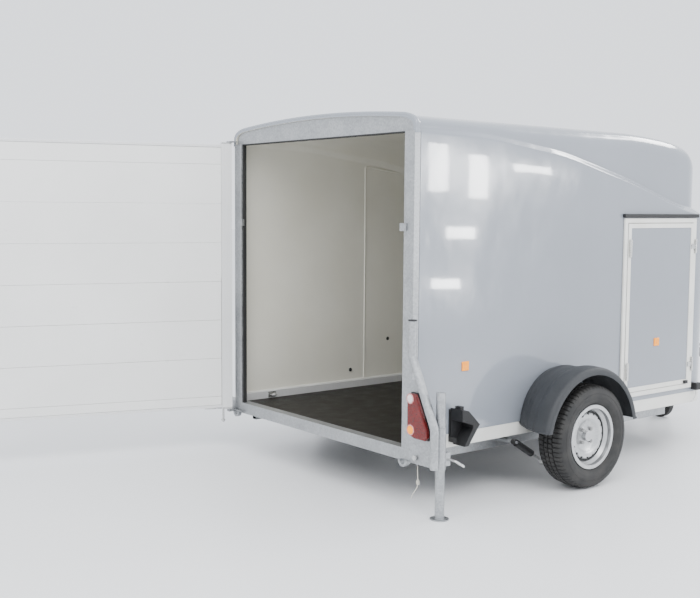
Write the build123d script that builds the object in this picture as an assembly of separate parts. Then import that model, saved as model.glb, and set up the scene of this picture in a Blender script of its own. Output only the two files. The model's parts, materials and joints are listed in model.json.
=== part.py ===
"""Enclosed single-axle box trailer with a combined swing door and loading ramp at the rear.

The model is laid out with x = 0 on the rear face of the rear beam, y = 0 on the centre plane and
z = 0 on the ground, and is moved at the end so that the origin is the centre of the tow ball socket.
+X points forwards to the tow vehicle, +Y to the left and +Z up. All sizes are in millimetres.
"""

from build123d import *
import math
import os

# ---- Driving dimensions: body ------------------------------------------------------------------
BODY_HALF = 854.0          # centre plane to outer face of the side wall
WALL = 12.0                # polyester wall
SKIRT_LOW = 297.0          # underside of the lower edge profile
SHELL_LOW = 372.0          # underside of the polyester body
ROOF_CROWN = 2073.0        # top of the roof on the centre plane
ROOF_CAMBER = 30.0         # rise of the roof from its edge to the centre plane
ROOF_CORNER = 95.0         # corner radius between side and roof
SIDE_FRONT = 2600.0        # where the side planes and the nose arc would meet
NOSE_BULGE = 270.0         # how far the nose arc stands in front of that
NOSE_CORNER = 220.0        # plan radius between side and nose
DOME_INSET = 54.0          # step from the lower body to the upper body
DOME_SETBACK = 70.0        # the upper body's front stands this far behind the lower body's
LEDGE_RISE = 50.0          # height of the sloped ledge between them
RIM_OUT = 14.0             # bead round the rear end of the roof
RIM_LONG = 34.0

# ---- Rear frame --------------------------------------------------------------------------------
POST_WIDE = 79.0             # from the opening to the body's outer face
OPENING_HALF = BODY_HALF - POST_WIDE
OPENING_TOP = 1953.0
POST_DEEP = 40.0
BEAM_LOW = 255.0
BEAM_TOP = 322.0
BEAM_DEEP = 60.0
FLOOR_TOP = 318.0
FLOOR_THICK = 18.0
FLOOR_TRIM = 16.0            # thickness of the profile along the floor's edge
FLOOR_TRIM_HIGH = 47.0
FLOOR_TRIM_GAP = 0.5         # between that profile and the floor panel
FLOOR_TRIM_FRONT = 2400.0    # its front end on the left; on the right it ends at the side door
TUBE_WALL = 3.0
SEAL = 8.0

# ---- Chassis and drawbar -----------------------------------------------------------------------
RAIL_LOW = 215.0
RAIL_OUT = BODY_HALF - 114.0
RAIL_IN = RAIL_OUT - 40.0
RAIL_FRONT = SIDE_FRONT - 250.0
DRAWBAR_R = 30.0
DRAWBAR_LOW_Z = 180.0      # centre height of the drawbar tubes under the floor
DRAWBAR_HIGH_Z = 400.0     # and in front of the body
DRAWBAR_KNEE_X = SIDE_FRONT + 460.0    # where they turn level again
DRAWBAR_KNEE_Y = 160.0
DRAWBAR_TIP_X = DRAWBAR_KNEE_X + 360.0
DRAWBAR_TIP_Y = 62.0
COUPLING_X = DRAWBAR_TIP_X + 530.0        # tow ball centre
COUPLING_Z = 420.0
BALL_SOCKET_R = 25.25

# ---- Wheels and suspension ---------------------------------------------------------------------
AXLE_X = 1105.0
TYRE_R = 294.3             # 185/70 R13
TYRE_WIDE = 185.0
TYRE_CENTRE = BODY_HALF + 208.5       # centre plane to the middle of the tyre
RIM_R = 165.0              # bead seat
RIM_FLANGE_R = 181.0
RIM_WIDE = 148.0
DISC_Y = TYRE_CENTRE + 25.5            # mounting face of the wheel disc
STUB_R = 20.0
RUN_FIT = 0.05
ARM_PIVOT_X = 1420.0
ARM_PIVOT_Z = 235.0
ARM_IN = BODY_HALF + 51.0             # suspension arm plate, inner and outer face
ARM_OUT = ARM_IN + 35.0
PIVOT_R = 15.0
DAMPER_Y = BODY_HALF + 26.0
DAMPER_TOP = (745.0, 268.0)
DAMPER_LOW = (990.0, 120.0)
DAMPER_EYE_GAP = 5.0

# ---- Rear door / ramp --------------------------------------------------------------------------
DOOR_AXIS_X = -30.0
DOOR_AXIS_Y = BODY_HALF + 8.0
DOOR_THICK = 40.0
DOOR_HINGE_EDGE = DOOR_AXIS_Y + 8.0
DOOR_FREE_EDGE = 4.0 - BODY_HALF
DOOR_LOW = 286.0
DOOR_TOP = 1951.0
DOOR_STILE = 68.0
DOOR_RAIL = 16.0
PLANK_PITCH = 245.0
FIRST_SEAM = 1828.0
PLANK_SKIN = 1.6
DOOR_OPEN = 106.7          # degrees from closed in the modelled position
HINGE_PIN_R = 8.0

# ---- Side door ---------------------------------------------------------------------------------
SIDE_DOOR_REAR = 1700.0    # outside of the fixed frame
SIDE_DOOR_FRONT = 2446.0
SIDE_DOOR_LOW = 402.0
SIDE_DOOR_TOP = 1512.0
SIDE_FRAME = 30.0
SIDE_FRAME_PROUD = 14.0
LEAF_GAP = 3.0

# ---- Fenders, legs, lamps ----------------------------------------------------------------------
FENDER_R = 395.0
FENDER_LIP_R = 348.0
FENDER_OUT = BODY_HALF + 314.0
FENDER_LOW = 360.0
FENDER_SKIN = 5.0
LEG_X = 20.0
LEG_Y = BODY_HALF + 195.0
LEG_R = 24.0
LEG_TOP = 640.0
FOOT_R = 49.0
FOOT_THICK = 6.0
LEG_GAP = 0.4
SLEEVE_R = 28.0
SLEEVE_TOP = 470.0
LEFT_LEG_RAISED = 244.0
GUARD_X = -30.5
GUARD_R = 22.0
GUARD_TOP = 995.0
GUARD_BEND_HIGH = 817.0
GUARD_BEND_LOW = 468.0
GUARD_IN = BODY_HALF + 32.0
GUARD_IN_LEFT = GUARD_IN + 40.0      # the left guard stands further out, clear of the door's hinge edge
LAMP_THICK = 34.0

# ---- Jockey wheel ------------------------------------------------------------------------------
JOCKEY_X = DRAWBAR_KNEE_X + 110.0
JOCKEY_Y = -118.0
JOCKEY_R = 105.0
JOCKEY_TUBE_R = 24.0


# ---- Small helpers -----------------------------------------------------------------------------
def block(x, y, z):
    """Box between the two ends given along each axis."""
    size = [abs(b - a) for a, b in (x, y, z)]
    middle = [(a + b) / 2 for a, b in (x, y, z)]
    return Pos(*middle) * Box(*size)


def rod(start, end, radius):
    """Round bar from one point to another."""
    axis = Vector(*end) - Vector(*start)
    return extrude(Plane(origin=start, z_dir=axis) * Circle(radius), axis.length)


def pipe(start, end, radius, bore):
    return rod(start, end, radius) - rod(start, end, bore)


def box_tube(x, y, z, along, wall=TUBE_WALL):
    """Rectangular tube, open at both ends of the axis named."""
    inner = [list(x), list(y), list(z)]
    for i, name in enumerate("xyz"):
        if name == along:
            inner[i] = [inner[i][0] - 1, inner[i][1] + 1]
        else:
            inner[i] = [inner[i][0] + wall, inner[i][1] - wall]
    return block(x, y, z) - block(*inner)


def plate_xz(points, y0, y1):
    """Flat plate with its outline in x and z, between two y values."""
    outline = Plane.XZ * make_face(Polyline(*points, close=True).edges())
    return Pos(0, y1, 0) * extrude(outline, y1 - y0)


def plate_yz(points, x0, x1):
    """Flat plate with its outline in y and z, between two x values."""
    outline = Plane.YZ * make_face(Polyline(*points, close=True).edges())
    return Pos(x0, 0, 0) * extrude(outline, x1 - x0)


def link(p, q, radius_p, radius_q, y0, y1):
    """Tapered bar with round ends in an x, z plane, between two y values."""
    gap = math.dist(p, q)
    turn = math.atan2(q[1] - p[1], q[0] - p[0])
    tilt = math.acos((radius_p - radius_q) / gap)
    corners = []
    for centre, radius, side in ((p, radius_p, 1), (q, radius_q, 1), (q, radius_q, -1), (p, radius_p, -1)):
        angle = turn + side * tilt
        corners.append((centre[0] + radius * math.cos(angle), centre[1] + radius * math.sin(angle)))
    bar = plate_xz(corners, y0, y1)
    for centre, radius in ((p, radius_p), (q, radius_q)):
        bar += rod((centre[0], y0, centre[1]), (centre[0], y1, centre[1]), radius)
    return bar


def round_bar(points, radius, bends):
    """Round bar along straight runs joined by arcs."""
    path = FilletPolyline(*points, radius=bends)
    return sweep(Plane(origin=path @ 0, z_dir=path % 0) * Circle(radius), path=path)


def bent_tube(points, radius, bends, wall):
    """Round tube along straight runs joined by arcs."""
    return round_bar(points, radius, bends) - round_bar(points, radius - wall, bends)


def other_side(shape):
    return mirror(shape, about=Plane.XZ)


def turned(profile_points, centre_x, centre_z):
    """Solid of revolution about a line along y; points are (y, radius)."""
    outline = make_face(Polyline(*[(r, y) for y, r in profile_points], close=True).edges())
    ring = revolve(Plane.XY * outline, axis=Axis.Y)
    return Pos(centre_x, 0, centre_z) * ring


# ---- Body shape --------------------------------------------------------------------------------
def plan_half(x, half, front, corner):
    """Half width of a plan outline: straight side, rounded corner, shallow nose arc."""
    bulge = NOSE_BULGE
    radius = (half**2 + bulge**2) / (2 * bulge)
    centre = front + bulge - radius
    inner = radius - corner
    corner_x = centre + math.sqrt(inner**2 - (half - corner) ** 2)
    if x <= corner_x:
        return half
    switch = centre + (corner_x - centre) * radius / inner
    if x <= switch:
        return half - corner + math.sqrt(max(corner**2 - (x - corner_x) ** 2, 0))
    return math.sqrt(max(radius**2 - (x - centre) ** 2, 0))


def plan_outline(inset):
    """Plan face of the lower body, drawn in by inset."""
    half = BODY_HALF - inset
    front = SIDE_FRONT - inset
    sides = Polyline((front, -half), (0, -half), (0, half), (front, half))
    nose = ThreePointArc((front, half), (front + NOSE_BULGE, 0), (front, -half))
    face = make_face([*sides.edges(), nose])
    return fillet(face.vertices().filter_by_position(Axis.X, front - 1, front + 1), NOSE_CORNER - inset)


def along(points, x):
    """Height at x on a line through the given points."""
    for (x0, z0), (x1, z1) in zip(points, points[1:]):
        if x <= x1:
            return z0 + (z1 - z0) * max(x - x0, 0) / (x1 - x0)
    return points[-1][1]


SWAGE = [
    (0, 1950.0), (532, 1938.0), (1187, 1858.0), (1849, 1702.0), (SIDE_FRONT - 216, 1545.0),
    (SIDE_FRONT + 300, 1500.0),
]
ROOF_LINE = [(0, 0.0)] + [
    (SIDE_FRONT + ahead, drop)
    for ahead, drop in (
        (-700, -6.0), (-410, -24.0), (-220, -48.0), (-110, -85.0), (-20, -140.0), (80, -240.0),
        (300, -330.0),
    )
]
NOSE_OVERLAP = 4.0          # the rounded front end reaches this far back into the body
STATIONS = [0, 532, 1187, 1849]
STATIONS += [SIDE_FRONT + ahead for ahead in (-300, -160, -100, -40, 20, 80, 140, 190)]


def body_section(x, inset, grow=0.0):
    """Cross section of the body at x, drawn in by inset, as a closed face."""
    low_half = plan_half(x + inset, BODY_HALF, SIDE_FRONT, NOSE_CORNER) - inset + grow
    dome_half = plan_half(x + inset, BODY_HALF - DOME_INSET, SIDE_FRONT - DOME_SETBACK, NOSE_CORNER) - inset
    blend = min(max(x / 1849, 0.0), 1.0)
    dome_half = (1 - blend) * (low_half - 4) + blend * dome_half if x < 1849 else dome_half
    swage = along(SWAGE, x) - inset / 2
    edge = ROOF_CROWN - ROOF_CAMBER + along(ROOF_LINE, x) - inset + grow
    crown = edge + ROOF_CAMBER
    rise = LEDGE_RISE * (0.3 + 0.7 * blend)
    corner = min(ROOF_CORNER, edge - swage - rise - 4, dome_half * 0.6)
    low = SHELL_LOW if inset == 0 else SHELL_LOW - 200
    right = [(low_half, low), (low_half, swage), (dome_half, swage + rise), (dome_half, edge - corner)]
    top = (dome_half - corner, edge)
    diagonal = corner * (1 - math.sqrt(0.5))
    middle = (dome_half - diagonal, edge - diagonal)
    left = [(-y, z) for y, z in reversed(right)]
    edges = [
        *Polyline(*right).edges(),
        ThreePointArc(right[-1], middle, top),
        ThreePointArc(top, (0, crown), (-top[0], top[1])),
        ThreePointArc((-top[0], top[1]), (-middle[0], middle[1]), left[0]),
        *Polyline(*left).edges(),
        Line(left[-1], right[0]),
    ]
    return Plane(origin=(x, 0, 0), x_dir=(0, 1, 0), z_dir=(1, 0, 0)) * make_face(edges)


def body_block(inset):
    """The whole body as a solid block, drawn in by inset."""
    stations = [x if x else -inset * 10 for x in STATIONS]
    if inset:
        stations = [x if x < 2300 else x - inset for x in stations]
    upper = loft([body_section(x, inset) for x in stations], ruled=True)
    low = SHELL_LOW if inset == 0 else SHELL_LOW - 200
    nose = Pos(0, 0, low) * extrude(plan_outline(inset), along(SWAGE, stations[-1]) - inset / 2 - low)
    return upper + (nose & block((stations[-1] - NOSE_OVERLAP, 3000), (-2000, 2000), (0, 3000)))


def side_door_opening():
    clear = SIDE_FRAME
    return block(
        (SIDE_DOOR_REAR + clear, SIDE_DOOR_FRONT - clear),
        (-BODY_HALF - 60, -BODY_HALF + 60),
        (SIDE_DOOR_LOW + clear, SIDE_DOOR_TOP - clear),
    )


def make_body(parts):
    cavity = body_block(WALL)
    shell = body_block(0) - cavity
    rim = extrude(body_section(0, 0, RIM_OUT), RIM_LONG) - extrude(body_section(0, WALL / 2), RIM_LONG)
    rim -= block((-10, RIM_LONG + 10), (-2000, 2000), (0, OPENING_TOP - 30))
    shell += rim
    for side in (1, -1):
        across = (side * (OPENING_HALF - 60), side * (BODY_HALF + 1))
        shell -= block((-1, POST_DEEP), across, (0, OPENING_TOP))
    shell -= side_door_opening()
    parts["body_shell"] = shell

    skirt = SHELL_LOW - SKIRT_LOW
    ring = Pos(0, 0, SKIRT_LOW) * (extrude(plan_outline(0), skirt) - extrude(plan_outline(WALL + 6), skirt))
    ring -= block((-10, BEAM_DEEP), (-2000, 2000), (0, 1000))
    parts["lower_edge_profile"] = ring

    wall_in = BODY_HALF - WALL - 6.5
    floor = Pos(0, 0, FLOOR_TOP - FLOOR_THICK) * extrude(plan_outline(WALL + 6.5), FLOOR_THICK)
    floor -= block((-10, BEAM_DEEP + 0.5), (-2000, 2000), (0, 1000))
    trims = []
    for side, front in ((1, FLOOR_TRIM_FRONT), (-1, SIDE_DOOR_REAR)):
        across = (side * (wall_in - FLOOR_TRIM), side * wall_in)
        upright = (FLOOR_TOP - FLOOR_THICK, FLOOR_TOP + FLOOR_TRIM_HIGH)
        trims.append(block((BEAM_DEEP + 1, front), across, upright))
        across = (side * (wall_in - FLOOR_TRIM - FLOOR_TRIM_GAP), side * (wall_in + 1))
        floor -= block((0, front + FLOOR_TRIM_GAP), across, (0, 1000))
    parts["floor_panel"] = floor
    parts["floor_trims"] = trims

    parts["header_plate"] = cavity & block((12, 16), (-2000, 2000), (OPENING_TOP, 3000))

    post = box_tube((0, POST_DEEP), (OPENING_HALF, BODY_HALF - 2), (BEAM_TOP, OPENING_TOP), "z", 2.5)
    parts["rear_posts"] = [post, other_side(post)]

    upright = block((10, 34), (OPENING_HALF - SEAL, OPENING_HALF), (BEAM_TOP, OPENING_TOP))
    over = block((10, 34), (-OPENING_HALF + SEAL, OPENING_HALF - SEAL), (OPENING_TOP - SEAL, OPENING_TOP))
    parts["opening_seal"] = upright + other_side(upright) + over

    rings = []
    for x in (260, 1560):
        for side in (1, -1):
            y = side * (wall_in - FLOOR_TRIM)
            plate = block((x - 30, x + 30), (y - side * 4, y), (FLOOR_TOP + 6, FLOOR_TOP + 42))
            eye = Pos(x, y - side * 24, FLOOR_TOP + 24) * Torus(20, 4)
            rings.append(plate + eye)
    parts["tie_rings"] = rings

    marker = block((350, 400), (-BODY_HALF - 6, -BODY_HALF), (700, 750))
    parts["side_reflectors"] = [marker, other_side(marker)]


def make_rear_frame(parts):
    beam_half = LEG_Y - SLEEVE_R
    parts["rear_beam"] = box_tube((0, BEAM_DEEP), (-beam_half, beam_half), (BEAM_LOW, BEAM_TOP), "y")

    plates, housings, reds, whites, ambers, guards, caps, sleeves = [], [], [], [], [], [], [], []
    for side, guard_in in ((-1, GUARD_IN), (1, GUARD_IN_LEFT)):
        shift = guard_in - GUARD_IN
        guard_out = LEG_Y + 10 + (8 if shift else 0)
        path = [
            (GUARD_X, side * guard_in, GUARD_TOP),
            (GUARD_X, side * guard_in, GUARD_BEND_HIGH),
            (GUARD_X, side * guard_out, GUARD_BEND_LOW),
            (GUARD_X, side * guard_out, BEAM_LOW + 8),
        ]
        guards.append(bent_tube(path, GUARD_R, 60, TUBE_WALL))
        caps.append(rod(path[0], (GUARD_X, side * guard_in, GUARD_TOP + 6), GUARD_R + 2))

        inner, outer = BODY_HALF + 2 + shift, LEG_Y - SLEEVE_R - 1
        plate = [(inner, BEAM_TOP), (outer, BEAM_TOP), (outer, 450), (inner + 40, 690), (inner, 690)]
        plates.append(plate_yz([(side * y, z) for y, z in plate], -7, -3))
        lens = [(inner + 2, 412), (inner + 60, 394), (outer - 20, 394), (outer - 2, 412), (outer - 8, 450)]
        lens += [(inner + 80, 600), (inner + 62, 628), (inner + 10, 628), (inner + 2, 610)]
        lens = [(side * y, z) for y, z in lens]
        housings.append(plate_yz(lens, -17, -7))
        white = rod((-17, side * (inner + 28), 600), (-17 - LAMP_THICK + 6, side * (inner + 28), 600), 21)
        amber = rod((-17, side * (inner + 30), 434), (-17 - LAMP_THICK + 6, side * (inner + 30), 434), 22)
        amber &= plate_yz(lens, -17 - LAMP_THICK, -17)
        red = plate_yz(lens, -17 - LAMP_THICK + 10, -17) - white - amber
        reds.append(red)
        whites.append(white)
        ambers.append(amber)

        leg_y = side * LEG_Y
        sleeve = rod((LEG_X, leg_y, BEAM_LOW), (LEG_X, leg_y, SLEEVE_TOP), SLEEVE_R)
        slit = block((LEG_X + 10, LEG_X + 90), (leg_y - 3, leg_y + 3), (BEAM_LOW - 1, 345))
        lugs = block((LEG_X + 24, LEG_X + 58), (leg_y - 13, leg_y + 13), (270, 338))
        bore = rod((LEG_X, leg_y, 0), (LEG_X, leg_y, 700), LEG_R + LEG_GAP)
        sleeve = sleeve + lugs - bore - slit
        sleeve -= rod((LEG_X + 44, leg_y - 60, 304), (LEG_X + 44, leg_y + 60, 304), 6 + RUN_FIT)
        sleeves.append(sleeve)
    parts["lamp_plates"] = plates
    parts["lamp_housings"] = housings
    parts["lamp_red_lenses"] = reds
    parts["lamp_white_lenses"] = whites
    parts["lamp_amber_lenses"] = ambers
    parts["lamp_guards"] = guards
    parts["guard_caps"] = caps
    parts["leg_sleeves"] = sleeves

    cup_y = BODY_HALF - 46
    cup = rod((-22, cup_y, 262), (0, cup_y, 262), 34)
    cup &= block((-22, 0), (cup_y - 34, cup_y + 34), (228, 262))
    cup -= rod((-23, cup_y, 262), (-4, cup_y, 262), 20)
    parts["ramp_cups"] = [cup, other_side(cup)]

    keepers = []
    for side in (1, -1):
        lip, edge, inner = (side * (OPENING_HALF + reach) for reach in (-23, -15, 25))
        keeper = block((-9, 0), (edge, inner), (1446, 1486))
        keeper += block((-9, 8), (lip, edge), (1446, 1486))
        keepers.append(keeper)
    parts["latch_keepers"] = keepers


def make_chassis(parts):
    rails = []
    for side in (1, -1):
        y = sorted((side * RAIL_IN, side * RAIL_OUT))
        rails.append(box_tube((BEAM_DEEP, RAIL_FRONT), y, (RAIL_LOW, FLOOR_TOP - FLOOR_THICK), "x"))
    parts["chassis_rails"] = rails

    bars = []
    for x in (420, 980, 1540, 2100):
        bars.append(box_tube((x, x + 40), (-RAIL_IN, RAIL_IN), (240, FLOOR_TOP - FLOOR_THICK), "y"))
    parts["cross_members"] = bars

    tubes = []
    for side in (1, -1):
        points = [
            (1500, side * 600, DRAWBAR_LOW_Z),
            (DRAWBAR_KNEE_X - 275, side * 268, DRAWBAR_LOW_Z),
            (DRAWBAR_KNEE_X, side * DRAWBAR_KNEE_Y, DRAWBAR_HIGH_Z),
            (DRAWBAR_TIP_X, side * DRAWBAR_TIP_Y, DRAWBAR_HIGH_Z),
        ]
        tubes.append(bent_tube(points, DRAWBAR_R, 120, 4))
    parts["drawbar_tubes"] = tubes

    head_x = DRAWBAR_TIP_X - 130
    head = block((head_x, DRAWBAR_TIP_X + 220), (-30, 30), (340, 372))
    head += block((head_x, head_x + 40), (-95, 95), (340, 369))
    parts["drawbar_head"] = head
    hangers = []
    for side in (1, -1):
        for x, y in ((1560, 584), (2120, 440)):
            across = (side * (y - 30), side * (y + 30))
            hangers.append(block((x - 20, x + 20), across, (DRAWBAR_LOW_Z + DRAWBAR_R, 240)))
    parts["drawbar_hangers"] = hangers


# ---- Suspension and wheels (drawn on the left, mirrored for the right) -----------------------------
def make_axle_side(parts, side, name):
    def put(node, shape):
        shapes = shape if isinstance(shape, list) else [shape]
        parts[f"{node}_{name}"] = shapes if side > 0 else [other_side(s) for s in shapes]

    pivot = (ARM_PIVOT_X, ARM_PIVOT_Z)
    wheel = (AXLE_X, TYRE_R)
    pin = rod((pivot[0], RAIL_OUT, pivot[1]), (pivot[0], ARM_OUT + 8, pivot[1]), PIVOT_R)
    pin += rod((pivot[0], RAIL_OUT, pivot[1]), (pivot[0], RAIL_OUT + 8, pivot[1]), 20)
    pin += rod((pivot[0], ARM_OUT + 4, pivot[1]), (pivot[0], ARM_OUT + 14, pivot[1]), 20)
    put("suspension_pin", pin)

    arm = link(pivot, wheel, 34, 40, ARM_IN, ARM_OUT) + link(wheel, DAMPER_LOW, 36, 18, ARM_IN, ARM_OUT)
    arm += rod((pivot[0], ARM_IN - 60, pivot[1]), (pivot[0], ARM_OUT, pivot[1]), 27)
    arm -= rod((pivot[0], RAIL_OUT, pivot[1]), (pivot[0], ARM_OUT + 40, pivot[1]), PIVOT_R + RUN_FIT)
    arm += rod((wheel[0], ARM_OUT, wheel[1]), (wheel[0], DISC_Y - 14, wheel[1]), STUB_R)
    arm += rod((DAMPER_LOW[0], DAMPER_Y - 18, DAMPER_LOW[1]), (DAMPER_LOW[0], ARM_IN, DAMPER_LOW[1]), 8)
    put("swing_arm", arm)

    mount = rod((DAMPER_TOP[0], RAIL_OUT, DAMPER_TOP[1]), (DAMPER_TOP[0], DAMPER_Y + 22, DAMPER_TOP[1]), 8)
    mount += rod((DAMPER_TOP[0], RAIL_OUT, DAMPER_TOP[1]), (DAMPER_TOP[0], DAMPER_Y - 20, DAMPER_TOP[1]), 14)
    put("damper_mount", mount)

    top = Vector(DAMPER_TOP[0], DAMPER_Y, DAMPER_TOP[1])
    low = Vector(DAMPER_LOW[0], DAMPER_Y, DAMPER_LOW[1])
    run = (low - top).normalized()
    across = Vector(0, 1, 0)
    bore = rod(top - across * 15, top + across * 15, 8 + RUN_FIT)
    eye_high = rod(top - across * 14, top + across * 14, 16)
    put("damper_tube", eye_high + pipe(top + run * 15, top + run * 165, 20, 8 + RUN_FIT) - bore)
    hole = rod(low - across * 15, low + across * 15, 8 + DAMPER_EYE_GAP)
    eye_low = rod(low - across * 14, low + across * 14, 20) - hole
    put("damper_rod", eye_low + (rod(top + run * 90, low - run * 15, 8) - hole))

    centre = TYRE_CENTRE
    half = TYRE_WIDE / 2
    bead = RIM_WIDE / 2 - 5.5
    lip = RIM_FLANGE_R + 3
    tyre = [
        (centre - bead, RIM_R), (centre - bead, lip), (centre - half, 232), (centre - half + 6, 272),
        (centre - half + 24, 290), (centre - 30, TYRE_R), (centre + 30, TYRE_R), (centre + half - 24, 290),
        (centre + half - 6, 272), (centre + half, 232), (centre + bead, lip), (centre + bead, RIM_R),
        (centre + bead - 12, RIM_R), (centre + bead - 8, RIM_R + 26), (centre + half - 11, 232),
        (centre + half - 18, 262), (centre + half - 34, 276), (centre - half + 34, 276),
        (centre - half + 18, 262), (centre - half + 11, 232), (centre - bead + 8, RIM_R + 26),
        (centre - bead + 12, RIM_R),
    ]
    put("tyre", turned(tyre, *wheel))

    out, inn = centre + RIM_WIDE / 2, centre - RIM_WIDE / 2
    barrel = [
        (inn, RIM_FLANGE_R), (inn + 5, RIM_FLANGE_R), (inn + 5, RIM_R), (inn + 24, RIM_R), (inn + 40, 150),
        (out - 44, 150), (out - 26, RIM_R), (out - 5, RIM_R), (out - 5, RIM_FLANGE_R), (out, RIM_FLANGE_R),
        (out, RIM_R - 4),
        (out - 24, RIM_R - 4), (out - 41, 146), (inn + 38, 146), (inn + 22, RIM_R - 4), (inn, RIM_R - 4),
    ]
    disc = [
        (DISC_Y, 30), (DISC_Y, 78), (DISC_Y + 14, 100), (DISC_Y + 14, 124), (DISC_Y - 6, 146),
        (DISC_Y - 10, 146),
        (DISC_Y + 10, 122), (DISC_Y + 10, 102), (DISC_Y - 4, 80), (DISC_Y - 4, 30),
    ]
    rim = turned(barrel, *wheel) + turned(disc, *wheel)
    for i in range(16):
        angle = 2 * math.pi * i / 16
        x, z = wheel[0] + 128 * math.cos(angle), wheel[1] + 128 * math.sin(angle)
        rim -= rod((x, DISC_Y - 30, z), (x, DISC_Y + 40, z), 9)
    bolts = []
    for i in range(4):
        angle = math.pi / 4 + math.pi * i / 2
        x, z = wheel[0] + 49 * math.cos(angle), wheel[1] + 49 * math.sin(angle)
        rim -= rod((x, DISC_Y - 30, z), (x, DISC_Y + 40, z), 7)
        shank = rod((x, DISC_Y - 16, z), (x, DISC_Y, z), 6)
        bolts.append(rod((x, DISC_Y, z), (x, DISC_Y + 12, z), 10) + shank)
    put("wheel_rim", rim)
    put("wheel_bolts", bolts)

    drum = rod((wheel[0], ARM_OUT + 14, wheel[1]), (wheel[0], ARM_OUT + 74, wheel[1]), 95)
    drum += rod((wheel[0], ARM_OUT + 74, wheel[1]), (wheel[0], DISC_Y - 4, wheel[1]), 62)
    drum -= rod((wheel[0], ARM_OUT, wheel[1]), (wheel[0], DISC_Y - 13, wheel[1]), STUB_R + RUN_FIT)
    for bolt in bolts:
        drum -= bolt
    cap = rod((wheel[0], DISC_Y - 4, wheel[1]), (wheel[0], DISC_Y + 22, wheel[1]), 29)
    put("brake_drum", drum)
    put("hub_cap", cap)

    fender = fender_block(0) - fender_block(FENDER_SKIN)
    fender &= block((0, 3000), (BODY_HALF, 2000), (FENDER_LOW, 1000))
    put("fender", fender)


def fender_block(inset):
    """Round block over the wheel, smaller at the side wall and at its outer lip; its top is the arch."""
    stations = [
        (BODY_HALF + 0.3 - 2 * inset, AXLE_X + 15, TYRE_R + 56, 312 - inset),
        (BODY_HALF + 130, AXLE_X - 12, TYRE_R + 12, 376 - inset),
        (FENDER_OUT - 30, AXLE_X - 20, TYRE_R, FENDER_R - inset),
        (FENDER_OUT - 3, AXLE_X - 20, TYRE_R, FENDER_R - 12 - inset),
        (FENDER_OUT + 2 * inset, AXLE_X - 20, TYRE_R, FENDER_LIP_R + 8),
    ]
    circles = []
    for y, x, z, radius in stations:
        circles.append(Plane(origin=(x, y, z), x_dir=(1, 0, 0), z_dir=(0, -1, 0)) * Circle(radius))
    return loft(circles, ruled=True)


# ---- Rear door, drawn closed and then opened ---------------------------------------------------
def opened(shape):
    axis = Axis((DOOR_AXIS_X, DOOR_AXIS_Y, 0), (0, 0, 1))
    return shape.rotate(axis, -DOOR_OPEN)


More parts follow.
